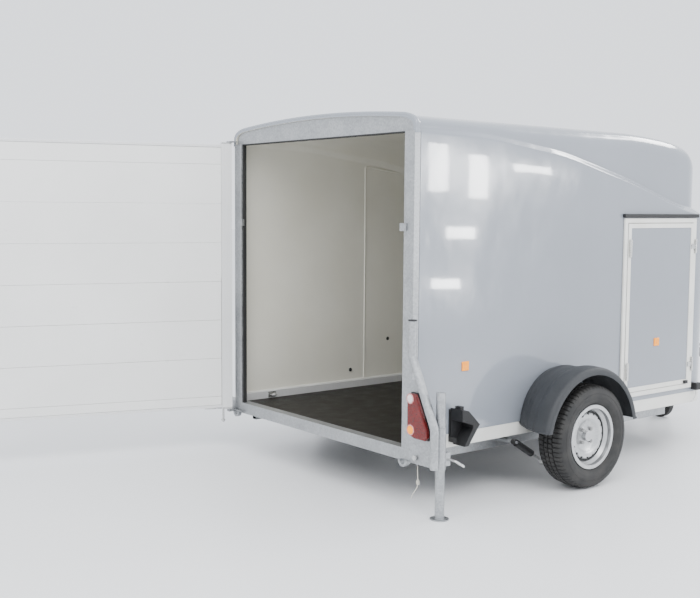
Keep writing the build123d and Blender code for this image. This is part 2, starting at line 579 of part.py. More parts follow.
def make_rear_door(parts):
    back = DOOR_AXIS_X - DOOR_THICK / 2
    face = DOOR_AXIS_X + DOOR_THICK / 2
    stile_in = DOOR_HINGE_EDGE - DOOR_STILE
    free_in = DOOR_FREE_EDGE + DOOR_STILE

    def put(node, shapes):
        parts[node] = [opened(s) for s in shapes]

    hinge_stile = box_tube((back, face), (stile_in, DOOR_HINGE_EDGE), (DOOR_LOW, DOOR_TOP), "z", 2)
    free_stile = box_tube((back, face), (DOOR_FREE_EDGE, free_in), (DOOR_LOW, DOOR_TOP), "z", 2)
    put("door_stiles", [hinge_stile, free_stile])

    rails = []
    for z in (DOOR_LOW, DOOR_TOP - DOOR_RAIL):
        rails.append(box_tube((back, face), (free_in, stile_in), (z, z + DOOR_RAIL), "y", 2))
    put("door_rails", rails)

    seams = [DOOR_TOP - DOOR_RAIL]
    while seams[-1] > DOOR_LOW + PLANK_PITCH:
        seams.append(FIRST_SEAM - PLANK_PITCH * (len(seams) - 1))
    seams.append(DOOR_LOW + DOOR_RAIL)
    planks = []
    for top, low in zip(seams, seams[1:]):
        planks.append(box_tube((back + 6, face - 4), (free_in, stile_in), (low, top), "y", PLANK_SKIN))
    put("door_planks", planks)

    caps = []
    for y0, y1 in ((stile_in, DOOR_HINGE_EDGE), (DOOR_FREE_EDGE, free_in)):
        caps.append(block((back, face), (y0, y1), (DOOR_TOP, DOOR_TOP + 5)))
    put("stile_caps", caps)

    pivot = (DOOR_AXIS_X, DOOR_AXIS_Y)
    lug_x, lug_y = (DOOR_AXIS_X - 18, DOOR_AXIS_X + 18), (stile_in + 6, DOOR_HINGE_EDGE)
    lug = block(lug_x, lug_y, (DOOR_LOW - 12, DOOR_LOW))
    lug -= rod((*pivot, 200), (*pivot, DOOR_LOW), HINGE_PIN_R + RUN_FIT)
    high = block(lug_x, lug_y, (DOOR_TOP + 5, DOOR_TOP + 15))
    high -= rod((*pivot, DOOR_TOP), (*pivot, DOOR_TOP + 20), HINGE_PIN_R + RUN_FIT)
    put("door_hinge_lugs", [lug, high])

    pin_y = DOOR_AXIS_Y - 46
    pin_x = DOOR_AXIS_X - 6
    pin = rod((pin_x, pin_y, 188), (pin_x, pin_y, DOOR_LOW - 12), 7)
    pin += rod((pin_x, pin_y, 196), (pin_x, pin_y, 204), 12)
    mate = Pos(0, DOOR_FREE_EDGE + 24 - pin_y, 0) * pin
    foot_y = (DOOR_FREE_EDGE + 6, DOOR_FREE_EDGE + 48)
    foot = block((DOOR_AXIS_X - 14, DOOR_AXIS_X + 14), foot_y, (DOOR_LOW - 12, DOOR_LOW))
    put("ramp_pins", [pin, mate + foot])

    eyes = []
    for y in (DOOR_AXIS_Y - 132, DOOR_FREE_EDGE + 120):
        eye = extrude(SlotOverall(76, 36, rotation=90) - SlotOverall(56, 16, rotation=90), 8)
        eyes.append(Pos(DOOR_AXIS_X, y, DOOR_LOW - 8) * eye)
    put("ramp_eyes", eyes)

    for name, y in (("left", DOOR_AXIS_Y - 26), ("right", DOOR_FREE_EDGE + 34)):
        base = block((back - 5, back), (y - 18, y + 18), (1426, 1506))
        base += rod((back - 16, y, 1466), (back - 5, y, 1466), 7)
        lever = Plane.YZ * SlotCenterToCenter(110, 26, rotation=90)
        lever = Pos(back - 14, y, 1466 - 55) * extrude(lever, 8)
        lever -= rod((back - 20, y, 1466), (back, y, 1466), 7 + RUN_FIT)
        grip = rod((back - 14, y, 1364), (back - 40, y, 1364), 9)
        put(f"door_latch_base_{name}", [base])
        put(f"door_latch_lever_{name}", [lever + grip])

    bracket = block((DOOR_AXIS_X - 18, 0), (DOOR_AXIS_Y - 18, DOOR_AXIS_Y + 14), (256, DOOR_LOW - 12.4))
    bracket += rod((*pivot, 256), (*pivot, DOOR_LOW - 1), HINGE_PIN_R)
    bracket += rod((DOOR_AXIS_X + 14, DOOR_AXIS_Y - 110, 268), (DOOR_AXIS_X + 14, DOOR_AXIS_Y + 90, 268), 4.5)
    across = (DOOR_AXIS_Y - 40, DOOR_AXIS_Y + 10)
    upper = block((DOOR_AXIS_X - 18, 0), across, (DOOR_TOP + 15.4, DOOR_TOP + 23))
    upper += rod((*pivot, DOOR_TOP + 6), (*pivot, DOOR_TOP + 16), HINGE_PIN_R)
    parts["door_hinge_brackets"] = [bracket, upper]


# ---- Side door ---------------------------------------------------------------------------------
def make_side_door(parts):
    out = -BODY_HALF
    proud = SIDE_FRAME_PROUD
    x0, x1, z0, z1 = SIDE_DOOR_REAR, SIDE_DOOR_FRONT, SIDE_DOOR_LOW, SIDE_DOOR_TOP
    f = SIDE_FRAME
    frame = block((x0, x1), (out - proud, out), (z0, z1))
    frame -= block((x0 + f, x1 - f), (out - proud - 1, out + 1), (z0 + f, z1 - f))
    parts["side_door_frame"] = frame
    parts["rain_gutter"] = block((x0 - 12, x1 + 16), (out - proud - 8, out), (z1 + 3, z1 + 26))

    a0, a1, b0, b1 = x0 + f + LEAF_GAP, x1 - f - LEAF_GAP, z0 + f + LEAF_GAP, z1 - f - LEAF_GAP
    leaf = block((a0, a1), (out - proud + 2, out + 8), (b0, b1))
    trim = block((a0, a1), (out - proud - 2, out - proud + 2), (b0, b1))
    trim -= block((a0 + 28, a1 - 28), (out - 40, out + 1), (b0 + 28, b1 - 28))
    latch_x = a0 + 14
    for name, z in (("top", 1372), ("bottom", 612)):
        hole = rod((latch_x, out - 40, z), (latch_x, out + 20, z), 6 + RUN_FIT)
        leaf -= hole
        trim -= hole
        handle = link((latch_x, z), (latch_x, z - 92), 11, 8, out - proud - 14, out - proud - 4)
        handle += rod((latch_x, out - proud - 4, z), (latch_x, out + 16, z), 6)
        tongue = block((latch_x - 9, latch_x + 9), (out + WALL + 3, out + WALL + 7), (z - 38, z + 9))
        parts[f"side_latch_{name}"] = handle + tongue
    parts["side_door_panel"] = leaf
    parts["side_door_border"] = trim
    parts["side_door_reflector"] = block((2023, 2073), (out - proud - 4, out - proud + 2), (708, 758))
    catch = block((a1 - 66, a1 - 30), (out - proud - 16, out - proud - 2), (b0 + 2, b0 + 22))
    parts["side_door_catch"] = catch

    hinge_x, hinge_y = x1 - f / 2, out - proud - 8
    fixed, moving = [], []
    for z in (1330, 560):
        pin = rod((hinge_x, hinge_y, z - 45), (hinge_x, hinge_y, z + 45), 4)
        for low, high in ((z - 45, z - 16), (z + 16, z + 45)):
            pin += rod((hinge_x, hinge_y, low), (hinge_x, hinge_y, high), 7)
            pin += block((hinge_x, hinge_x + 13), (hinge_y, out - proud), (low, high))
        fixed.append(pin)
        knuckle = rod((hinge_x, hinge_y, z - 15.5), (hinge_x, hinge_y, z + 15.5), 7)
        knuckle += block((a1 - 26, hinge_x), (hinge_y, hinge_y + 5), (z - 15.5, z + 15.5))
        knuckle += block((a1 - 26, a1 - 2), (hinge_y, out - proud - 2), (z - 15.5, z + 15.5))
        knuckle -= rod((hinge_x, hinge_y, z - 50), (hinge_x, hinge_y, z + 50), 4 + RUN_FIT)
        moving.append(knuckle)
    parts["side_hinges_fixed"] = fixed
    parts["side_hinges_moving"] = moving

    holder = block((2462, 2484), (out - 18, out), (384, 430))
    holder += block((2462, 2516), (out - 44, out - 18), (384, 430))
    bends = [(2478, out - 30, 384), (2478, out - 30, 352), (2452, out - 30, 318), (2424, out - 30, 314)]
    parts["door_holder"] = holder
    parts["door_holder_wire"] = round_bar(bends, 3, 12)


# ---- Legs, chocks, pin and lanyard -------------------------------------------------------------
def make_legs(parts):
    for name, side, lift in (("right", -1, 0), ("left", 1, LEFT_LEG_RAISED)):
        y = side * LEG_Y
        leg = pipe((LEG_X, y, FOOT_THICK), (LEG_X, y, LEG_TOP), LEG_R, LEG_R - TUBE_WALL)
        leg += rod((LEG_X, y, 0), (LEG_X, y, FOOT_THICK), FOOT_R)
        leg += rod((LEG_X, y, LEG_TOP), (LEG_X, y, LEG_TOP + 6), LEG_R)
        parts[f"rear_leg_{name}"] = Pos(0, 0, lift) * leg
        bolt_x = LEG_X + 44
        handle = rod((bolt_x, y - side * 26, 304), (bolt_x, y + side * 34, 304), 6)
        handle += rod((bolt_x, y - side * 26, 304), (bolt_x, y - side * 16, 304), 11)
        bend = [(bolt_x, y + side * 33, 304), (bolt_x, y + side * 62, 304), (bolt_x + 34, y + side * 94, 276)]
        handle += round_bar(bend, 6, 14)
        parts[f"leg_clamp_{name}"] = handle


def make_chocks(parts):
    base, apex, low, top = 266, 396, 316, 512
    outline = [(base, 452), (base, top), (base + 46, top - 8), (apex, 424), (apex - 22, 396)]
    outline += [(apex - 56, 352), (apex - 82, low), (apex - 112, low), (apex - 84, 360), (apex - 50, 408)]
    outline += [(apex - 52, 424)]
    band = plate_xz(outline, BODY_HALF + 8, BODY_HALF + 100)
    web = [(base, 330), (base, 452), (apex - 52, 424), (apex - 50, 408), (apex - 84, 360), (apex - 106, 330)]
    web = plate_xz(web, BODY_HALF + 8, BODY_HALF + 14)
    tab = block((base + 8, base + 34), (BODY_HALF + 34, BODY_HALF + 74), (top - 10, top + 14))
    chock = band + web + tab
    holder = block((base - 6, base + 40), (BODY_HALF, BODY_HALF + 5), (330, 505))
    holder += block((base - 6, base - 2), (BODY_HALF, BODY_HALF + 60), (330, 360))
    for name, flip in (("left", False), ("right", True)):
        parts[f"wheel_chock_{name}"] = other_side(chock) if flip else chock
    parts["chock_holders"] = [holder, other_side(holder)]


LANYARD = [
    (30, -870, 239), (30, -868.5, 222), (31, -869.5, 198), (30, -872, 174), (31, -873, 150),
    (32, -868, 127), (31, -857, 107), (29, -843, 90), (30, -829, 73), (32, -820, 55),
]
CORD_R = 2.2


def cord(points):
    """Tube along straight runs joined by arcs as large as the runs allow."""
    radii = []
    for before, here, after in zip(points, points[1:], points[2:]):
        a, b = Vector(*here) - Vector(*before), Vector(*after) - Vector(*here)
        turn = math.radians(a.get_angle(b))
        radii.append(0.45 * min(a.length, b.length) / math.tan(turn / 2))
    return round_bar(points, CORD_R, radii)


def make_pin_and_lanyard(parts):
    y, z = -BODY_HALF - 36, 288
    beam_hole = rod((-5, y, z), (BEAM_DEEP + 5, y, z), 7 + RUN_FIT)
    parts["rear_beam"] -= beam_hole
    pin = rod((-14, y, z), (BEAM_DEEP + 12, y, z), 7) + rod((-14, y, z), (-8, y, z), 13)
    pin -= rod((BEAM_DEEP + 6, y - 20, z), (BEAM_DEEP + 6, y + 20, z), 2)
    parts["ramp_pin"] = pin
    eye = Pos(30, -870, BEAM_LOW - 8) * (Rot(90, 0, 0) * Torus(6, 1.8))
    eye += block((26, 34), (-873, -867), (BEAM_LOW - 3, BEAM_LOW))
    parts["lanyard_eye"] = eye
    parts["lanyard_cord"] = cord(LANYARD)
    knot = Pos(31, -873, 150) * Sphere(11)
    knot += Pos(31, -878, 136) * Sphere(8)
    parts["lanyard_knot"] = knot


# ---- Drawbar fittings --------------------------------------------------------------------------
def make_jockey(parts):
    x, y = JOCKEY_X, JOCKEY_Y - 71
    slope = (DRAWBAR_KNEE_Y - DRAWBAR_TIP_Y) / (DRAWBAR_TIP_X - DRAWBAR_KNEE_X)
    tube_y = -DRAWBAR_KNEE_Y + (x - DRAWBAR_KNEE_X) * slope
    clamp = rod((x, y, 375), (x, y, 430), JOCKEY_TUBE_R + 9)
    clamp += block((x - 26, x + 26), (y, tube_y), (384, 416))
    clamp -= rod((x, y, 300), (x, y, 500), JOCKEY_TUBE_R + LEG_GAP)
    reach = 200
    near = (x - reach, tube_y - reach * slope, DRAWBAR_HIGH_Z)
    far = (x + reach, tube_y + reach * slope, DRAWBAR_HIGH_Z)
    clamp -= parts["drawbar_tubes"][1] + rod(near, far, DRAWBAR_R)
    clamp += block((x + 24, x + 52), (y - 12, y + 12), (386, 414))
    clamp -= rod((x + 30, y, 400), (x + 60, y, 400), 6 + RUN_FIT)
    clamp -= rod((x, y, 300), (x, y, 500), JOCKEY_TUBE_R + LEG_GAP)
    parts["jockey_clamp"] = clamp
    handle = rod((x + 30, y, 400), (x + 76, y, 400), 6) + rod((x + 70, y - 45, 400), (x + 70, y + 45, 400), 5)
    parts["jockey_clamp_handle"] = handle

    tube = pipe((x, y, 244), (x, y, 700), JOCKEY_TUBE_R, 16 + RUN_FIT)
    parts["jockey_tube"] = tube
    crank = rod((x, y, 700.5), (x, y, 722), 20) + rod((x, y, 640), (x, y, 702), 16)
    crank += rod((x, y, 716), (x, y - 110, 716), 7) + rod((x, y - 104, 716), (x, y - 104, 770), 10)
    parts["jockey_crank"] = crank

    wheel_y = y + 60
    fork = rod((x, y, 226), (x, y, 243.5), 26) + rod((x, y, 243), (x, y, 330), 16)
    fork += block((x - 36, x + 36), (y - 24, wheel_y + 26), (220, 230))
    for edge in (-36, 31):
        fork += link_x((wheel_y, JOCKEY_R), (wheel_y - 16, 222), x + edge, x + edge + 5)
    fork += rod((x - 40, wheel_y, JOCKEY_R), (x + 40, wheel_y, JOCKEY_R), 8)
    parts["jockey_fork"] = fork
    tread = rod((x - 25, wheel_y, JOCKEY_R), (x + 25, wheel_y, JOCKEY_R), JOCKEY_R)
    tread -= rod((x - 30, wheel_y, JOCKEY_R), (x + 30, wheel_y, JOCKEY_R), 66)
    hub = rod((x - 20, wheel_y, JOCKEY_R), (x + 20, wheel_y, JOCKEY_R), 66)
    hub -= rod((x - 30, wheel_y, JOCKEY_R), (x + 30, wheel_y, JOCKEY_R), 8 + RUN_FIT)
    parts["jockey_tyre"] = tread
    parts["jockey_hub"] = hub


def link_x(p, q, x0, x1):
    """Flat bar with round lower end in a y, z plane, between two x values."""
    bar = plate_yz([(p[0] - 16, p[1]), (p[0] + 16, p[1]), (q[0] + 30, q[1]), (q[0] - 30, q[1])], x0, x1)
    return bar + rod((x0, *p), (x1, *p), 16)


def make_coupling(parts):
    ball_x, z = COUPLING_X, COUPLING_Z
    housing = block((ball_x - 510, ball_x - 260), (-42, 42), (372, 466))
    housing -= rod((ball_x - 520, 0, z), (ball_x - 250, 0, z), 25 + RUN_FIT)
    pin = rod((ball_x - 450, -58, 452), (ball_x - 450, -42, 452), 9)
    parts["overrun_housing"] = housing + pin
    parts["draw_tube"] = pipe((ball_x - 505, 0, z), (ball_x - 120, 0, z), 25, 19)
    centre = (ball_x, 0)
    head = rod((ball_x - 150, 0, z), (ball_x - 45, 0, z), 34)
    head -= rod((ball_x - 151, 0, z), (ball_x - 120, 0, z), 25)
    head += rod((*centre, z - 14), (*centre, z + 40), 42)
    head += block((ball_x - 70, ball_x - 25), (-34, 34), (z - 8, z + 34))
    head -= rod((*centre, z - 15), (*centre, z), BALL_SOCKET_R)
    head -= Pos(ball_x, 0, z) * Sphere(BALL_SOCKET_R)
    head += block((ball_x - 44, ball_x - 20), (-9, 9), (z + 34, z + 62))
    head -= rod((ball_x - 32, -20, z + 52), (ball_x - 32, 20, z + 52), 5 + RUN_FIT)
    parts["coupling_head"] = head
    grip = rod((ball_x - 32, -20, z + 52), (ball_x - 32, 20, z + 52), 5)
    for y0, y1 in ((-16, -10), (10, 16)):
        grip += link((ball_x - 32, z + 52), (ball_x - 150, z + 78), 12, 10, y0, y1)
    grip += rod((ball_x - 150, -16, z + 78), (ball_x - 150, 16, z + 78), 9)
    parts["coupling_handle"] = grip
    lever = link((ball_x - 450, 452), (ball_x - 160, 500), 20, 11, -60, -52)
    lever -= rod((ball_x - 450, -70, 452), (ball_x - 450, -30, 452), 9 + RUN_FIT)
    lever += rod((ball_x - 170, -76, 498.5), (ball_x - 170, -52, 498.5), 10)
    parts["handbrake_lever"] = lever


# ---- Everything --------------------------------------------------------------------------------
def build():
    parts = {}
    make_body(parts)
    make_rear_frame(parts)
    make_chassis(parts)
    for side, name in ((1, "left"), (-1, "right")):
        make_axle_side(parts, side, name)
    make_rear_door(parts)
    make_side_door(parts)
    make_legs(parts)
    make_chocks(parts)
    make_pin_and_lanyard(parts)
    make_jockey(parts)
    make_coupling(parts)
    return parts


# Pieces of one body that share a node, each as a solid of its own.
GROUPS = {
    "rear_frame": ["header_plate", "rear_posts"],
    "floor_edge_fittings": ["floor_trims", "tie_rings"],
    "lamp_guards": ["lamp_plates", "lamp_guards", "guard_caps"],
    "rear_lamps": ["lamp_housings", "lamp_red_lenses", "lamp_white_lenses", "lamp_amber_lenses"],
    "rear_brackets": ["ramp_cups", "latch_keepers", "door_hinge_brackets", "lanyard_eye"],
    "chassis_frame": ["chassis_rails", "cross_members"],
    "drawbar": ["drawbar_tubes", "drawbar_head", "drawbar_hangers"],
    "drawbar_fittings": ["jockey_clamp", "overrun_housing"],
    "suspension_mounts": [
        "suspension_pin_left", "suspension_pin_right", "damper_mount_left", "damper_mount_right",
    ],
    "fenders": ["fender_left", "fender_right"],
    "side_fittings": ["side_hinges_fixed", "door_holder", "door_holder_wire", "chock_holders"],
    "door_frame": ["door_stiles", "door_rails", "stile_caps"],
    "door_fittings": [
        "door_hinge_lugs", "ramp_pins", "ramp_eyes", "door_latch_base_left", "door_latch_base_right",
    ],
    "side_door_fittings": ["side_hinges_moving", "side_door_catch", "side_door_reflector"],
    "wheel_hub_left": ["brake_drum_left", "hub_cap_left", "wheel_bolts_left"],
    "wheel_hub_right": ["brake_drum_right", "hub_cap_right", "wheel_bolts_right"],
    "jockey_wheel": ["jockey_tyre", "jockey_hub"],
    "coupling": ["draw_tube", "coupling_head"],
}


def solids_of(shape):
    pieces = shape if isinstance(shape, list) else [shape]
    return [solid for piece in pieces for solid in piece.solids()]


def grouped(parts):
    """The solids of each node, by name."""
    nodes = {}
    for node, names in GROUPS.items():
        nodes[node] = [solid for name in names for solid in solids_of(parts.pop(name))]
    for name, shape in parts.items():
        nodes[name] = solids_of(shape)
    return nodes


if __name__ == "__main__":
    os.makedirs("parts", exist_ok=True)
    for node, solids in grouped(build()).items():
        moved = [Pos(-COUPLING_X, 0, -COUPLING_Z) * solid for solid in solids]
        export_step(Compound(moved), f"parts/{node}.step")
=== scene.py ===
"""Looks of an enclosed box trailer: polyester body, rear door, side door, wheels, lamps and fittings.

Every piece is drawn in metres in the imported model's own frame. Sizes that a user would change are
properties of the add-on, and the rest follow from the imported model's boxes.
"""

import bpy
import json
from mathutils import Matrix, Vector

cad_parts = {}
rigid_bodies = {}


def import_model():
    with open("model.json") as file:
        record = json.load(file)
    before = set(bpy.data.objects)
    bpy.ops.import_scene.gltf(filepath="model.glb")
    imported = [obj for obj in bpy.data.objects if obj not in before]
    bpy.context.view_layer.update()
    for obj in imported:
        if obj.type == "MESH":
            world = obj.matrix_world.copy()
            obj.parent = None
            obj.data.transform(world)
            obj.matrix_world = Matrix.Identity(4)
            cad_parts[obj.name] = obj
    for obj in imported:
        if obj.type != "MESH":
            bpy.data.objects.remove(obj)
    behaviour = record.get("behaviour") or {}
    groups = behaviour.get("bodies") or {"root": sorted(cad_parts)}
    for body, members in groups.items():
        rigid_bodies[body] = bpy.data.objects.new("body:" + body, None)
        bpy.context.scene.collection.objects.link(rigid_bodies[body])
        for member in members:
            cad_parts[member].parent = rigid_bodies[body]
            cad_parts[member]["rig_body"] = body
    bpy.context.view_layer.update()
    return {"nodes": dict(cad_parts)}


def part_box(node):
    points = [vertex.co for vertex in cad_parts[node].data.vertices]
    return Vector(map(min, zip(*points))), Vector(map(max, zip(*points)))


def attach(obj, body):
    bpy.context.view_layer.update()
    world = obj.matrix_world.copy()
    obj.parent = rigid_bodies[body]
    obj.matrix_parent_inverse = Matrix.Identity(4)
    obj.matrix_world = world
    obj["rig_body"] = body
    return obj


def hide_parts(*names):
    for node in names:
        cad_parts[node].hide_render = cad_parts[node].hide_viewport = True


bl_info = {
    "name": "Box Trailer Looks",
    "version": (1, 0, 0),
    "blender": (4, 5, 0),
    "location": "View3D > Sidebar > Trailer",
    "description": "Dresses the packed trailer model in its visible surfaces and materials",
    "category": "Object",
}

import json
import math

import bmesh
import bpy
from mathutils import Matrix, Vector

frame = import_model()
BODY_OF = {node: obj["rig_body"] for node, obj in frame["nodes"].items()}

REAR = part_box("rear_beam")[0].x
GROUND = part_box("tyre_right")[0].z
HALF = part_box("lower_edge_profile")[1].y
OPENING_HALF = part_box("opening_seal")[1].y
OPENING_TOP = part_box("opening_seal")[1].z - GROUND
SHELL_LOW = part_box("lower_edge_profile")[1].z - GROUND


def at(x, y, z):
    """Point in the model's frame from distances ahead of the rear beam, left of centre and above ground."""
    return Vector((REAR + x, y, GROUND + z))


# ---- Shader arithmetic ---------------------------------------------------------------------------
class Value:
    """A socket that numbers and other sockets can be added to, multiplied by and so on."""

    def __init__(self, shader, socket):
        self.shader = shader
        self.socket = socket

    def join(self, operation, first, second=None):
        inputs = {0: first} if second is None else {0: first, 1: second}
        return self.shader.node("ShaderNodeMath", {"operation": operation}, inputs)

    def __add__(self, other):
        return self.join("ADD", self, other)

    def __radd__(self, other):
        return self.join("ADD", other, self)

    def __sub__(self, other):
        return self.join("SUBTRACT", self, other)

    def __rsub__(self, other):
        return self.join("SUBTRACT", other, self)

    def __mul__(self, other):
        return self.join("MULTIPLY", self, other)

    def __rmul__(self, other):
        return self.join("MULTIPLY", other, self)

    def __gt__(self, other):
        return self.join("GREATER_THAN", self, other)

    def __lt__(self, other):
        return self.join("LESS_THAN", self, other)

    def sine(self):
        return self.join("SINE", self)

    def clear(self, low, high):
        """0 at low and 1 at high, held outside them."""
        span = {"From Min": low, "From Max": high, "Value": self}
        return self.shader.node("ShaderNodeMapRange", {"clamp": True}, span)


class Shader:
    """A material under construction."""

    def __init__(self, name, roughness=0.5, metallic=0.0, coat=0.0):
        self.material = bpy.data.materials.new(name)
        self.material.use_nodes = True
        self.tree = self.material.node_tree
        self.surface = self.tree.nodes["Principled BSDF"]
        self.surface.inputs["Roughness"].default_value = roughness
        self.surface.inputs["Metallic"].default_value = metallic
        self.surface.inputs["Coat Weight"].default_value = coat

    def node(self, kind, settings=None, inputs=None, output=0):
        """Adds a node, sets it up, fills its inputs and returns one output."""
        node = self.tree.nodes.new(kind)
        for name, value in (settings or {}).items():
            if name == "stops":
                ramp = node.color_ramp
                while len(ramp.elements) < len(value):
                    ramp.elements.new(0.5)
                for element, (place, colour) in zip(ramp.elements, value):
                    element.position = place
                    element.color = (*colour, 1.0)
            else:
                setattr(node, name, value)
        for name, value in (inputs or {}).items():
            if isinstance(value, Value):
                self.tree.links.new(value.socket, node.inputs[name])
            else:
                node.inputs[name].default_value = value
        return Value(self, node.outputs[output])

    def place(self):
        return self.node("ShaderNodeTexCoord", output="Object")

    def axes(self):
        """The three coordinates as separate values."""
        split = self.node("ShaderNodeSeparateXYZ", inputs={0: self.place()})
        outputs = split.socket.node.outputs
        return [Value(self, outputs[i]) for i in range(3)]

    def noise(self, scale, detail=3.0, stretch=(1, 1, 1)):
        mapped = self.node("ShaderNodeMapping", inputs={"Vector": self.place(), "Scale": stretch})
        return self.node("ShaderNodeTexNoise", inputs={"Vector": mapped, "Scale": scale, "Detail": detail})

    def cells(self, scale, output="Color", feature="F1"):
        settings = {"feature": feature}
        inputs = {"Vector": self.place(), "Scale": scale}
        return self.node("ShaderNodeTexVoronoi", settings, inputs, output)

    def ramp(self, factor, *stops):
        return self.node("ShaderNodeValToRGB", {"stops": stops}, {"Fac": factor})

    def blend(self, factor, first, second):
        """Colour between two colours."""
        first = (*first, 1.0) if isinstance(first, tuple) else first
        second = (*second, 1.0) if isinstance(second, tuple) else second
        inputs = {"Factor": factor, 6: first, 7: second}
        return self.node("ShaderNodeMix", {"data_type": "RGBA"}, inputs, output=2)

    def wire(self, name, value):
        if isinstance(value, Value):
            self.tree.links.new(value.socket, self.surface.inputs[name])
        elif name == "Base Color":
            self.surface.inputs[name].default_value = (*value, 1.0)
        else:
            self.surface.inputs[name].default_value = value

    def bump(self, height, strength, distance):
        inputs = {"Height": height, "Strength": strength, "Distance": distance}
        self.wire("Normal", self.node("ShaderNodeBump", inputs=inputs))


def gel_coat():
    """Glossy grey coloured gel coat: orange peel, faint waves from the fibre behind it, light dust."""
    look = bpy.context.scene.trailer_body
    shader = Shader("gel_coat_grey", roughness=0.16, coat=0.6)
    shader.surface.inputs["Coat Roughness"].default_value = 0.04
    grey = tuple(look.paint)
    cloud = shader.noise(1.3, 4.0)
    darker = tuple(0.93 * c for c in grey)
    shader.wire("Base Color", shader.blend(cloud.clear(0.35, 0.7), darker, grey))
    shader.wire("Roughness", shader.noise(6.0, 5.0) * 0.1 + 0.12)
    broad = shader.noise(2.4, 1.0, (1, 1, 0.55)) * look.waviness
    ripple = shader.noise(9.0, 1.5, (1, 1, 0.7)) * (0.2 * look.waviness)
    waves = broad + ripple
    peel = shader.noise(260.0, 1.0) * 0.0001
    shader.bump(waves + peel, 1.0, 1.0)
    return shader.material


def inner_polyester():
    """Beige top coat over glass fibre: uneven gloss and the fibre mat showing through."""
    shader = Shader("inner_polyester", roughness=0.38)
    mat = shader.noise(90.0, 6.0)
    tone = shader.noise(1.7, 3.0)
    shader.wire("Base Color", shader.blend(tone.clear(0.3, 0.75), (0.69, 0.665, 0.575), (0.76, 0.74, 0.66)))
    shader.wire("Roughness", mat * 0.25 + 0.24)
    shader.bump(mat * 0.0004 + shader.noise(5.0, 2.0) * 0.004, 1.0, 1.0)
    return shader.material


def cream_profile():
    """Satin cream edge profile with slight yellowing and grime."""
    shader = Shader("cream_profile", roughness=0.35)
    tone = shader.noise(7.0, 6.0)
    shader.wire("Base Color", shader.blend(tone.clear(0.25, 0.7), (0.70, 0.69, 0.64), (0.78, 0.775, 0.74)))
    shader.wire("Roughness", shader.noise(40.0, 3.0) * 0.2 + 0.25)
    shader.bump(shader.noise(500.0, 1.0) * 0.00008, 1.0, 1.0)
    return shader.material


def galvanised():
    """Hot-dip zinc: spangle, runs and a dull bloom."""
    shader = Shader("galvanised_steel", metallic=0.85, roughness=0.42)
    spangle = shader.node("ShaderNodeSeparateColor", inputs={0: shader.cells(110.0)})
    bloom = shader.noise(9.0, 8.0)
    mixed = spangle * 0.35 + bloom * 0.65
    tones = shader.ramp(mixed, (0.2, (0.29, 0.30, 0.31)), (0.5, (0.37, 0.38, 0.39)), (0.8, (0.48, 0.49, 0.50)))
    shader.wire("Base Color", tones)
    shader.wire("Roughness", spangle * 0.14 + bloom * 0.22 + 0.26)
    shader.bump(shader.noise(55.0, 5.0) * 0.0007 + spangle * 0.00012, 1.0, 1.0)
    return shader.material


def bright_zinc():
    """Electroplated zinc with fine handling scratches."""
    shader = Shader("bright_zinc", metallic=0.9, roughness=0.28)
    scratch = shader.noise(60.0, 8.0, (1, 1, 14))
    shader.wire("Base Color", shader.blend(scratch.clear(0.35, 0.65), (0.45, 0.45, 0.44), (0.70, 0.70, 0.69)))
    shader.wire("Roughness", scratch * 0.25 + 0.16)
    shader.bump(scratch * 0.00008, 1.0, 1.0)
    return shader.material


def anodised(name, light, dark, grain):
    """Extruded aluminium with its drawing lines along one axis."""
    shader = Shader(name, metallic=0.35, roughness=0.34)
    lines = shader.noise(140.0, 4.0, grain)
    cloud = shader.noise(3.0, 4.0)
    shader.wire("Base Color", shader.blend(cloud * 0.5 + lines * 0.5, dark, light))
    shader.wire("Roughness", lines * 0.22 + 0.24)
    shader.bump(lines * 0.00006, 1.0, 1.0)
    return shader.material


def lacquered_plank():
    """White lacquer on door planks, slightly milky, with faint scuffs."""
    shader = Shader("lacquered_plank", roughness=0.3, coat=0.25)
    cloud = shader.noise(2.2, 5.0)
    scuff = shader.noise(34.0, 9.0, (1, 1, 9))
    base = shader.blend(cloud.clear(0.3, 0.7), (0.82, 0.82, 0.80), (0.88, 0.88, 0.86))
    shader.wire("Base Color", shader.blend(scuff.clear(0.66, 0.74) * 0.35, base, (0.62, 0.62, 0.60)))
    shader.wire("Roughness", shader.noise(12.0, 6.0) * 0.25 + 0.2)
    shader.bump(shader.noise(420.0, 1.0) * 0.00006 + scuff * 0.00005, 1.0, 1.0)
    return shader.material


def moulded(name, colour, pale, grain, roughness=0.55):
    """Grained moulded plastic, paler where it has been rubbed and dusty."""
    shader = Shader(name, roughness=roughness)
    cells = shader.cells(grain, "Distance")
    dust = shader.noise(8.0, 7.0)
    shader.wire("Base Color", shader.blend(dust.clear(0.4, 0.8) * 0.5, colour, pale))
    shader.wire("Roughness", dust * 0.25 + (roughness - 0.12))
    shader.bump(cells * 0.0005 + shader.noise(30.0, 3.0) * 0.0003, 1.0, 1.0)
    return shader.material


def tyre_rubber():
    """Black-brown rubber with dust in the tread and rings of mould lines on the side wall."""
    shader = Shader("tyre_rubber", roughness=0.72)
    dust = shader.noise(14.0, 9.0)
    shader.wire("Base Color", shader.blend(dust.clear(0.35, 0.75), (0.010, 0.010, 0.010), (0.034, 0.032, 0.030)))
    shader.wire("Roughness", dust * 0.25 + 0.55)
    shader.bump(shader.noise(380.0, 4.0) * 0.0003, 1.0, 1.0)
    return shader.material


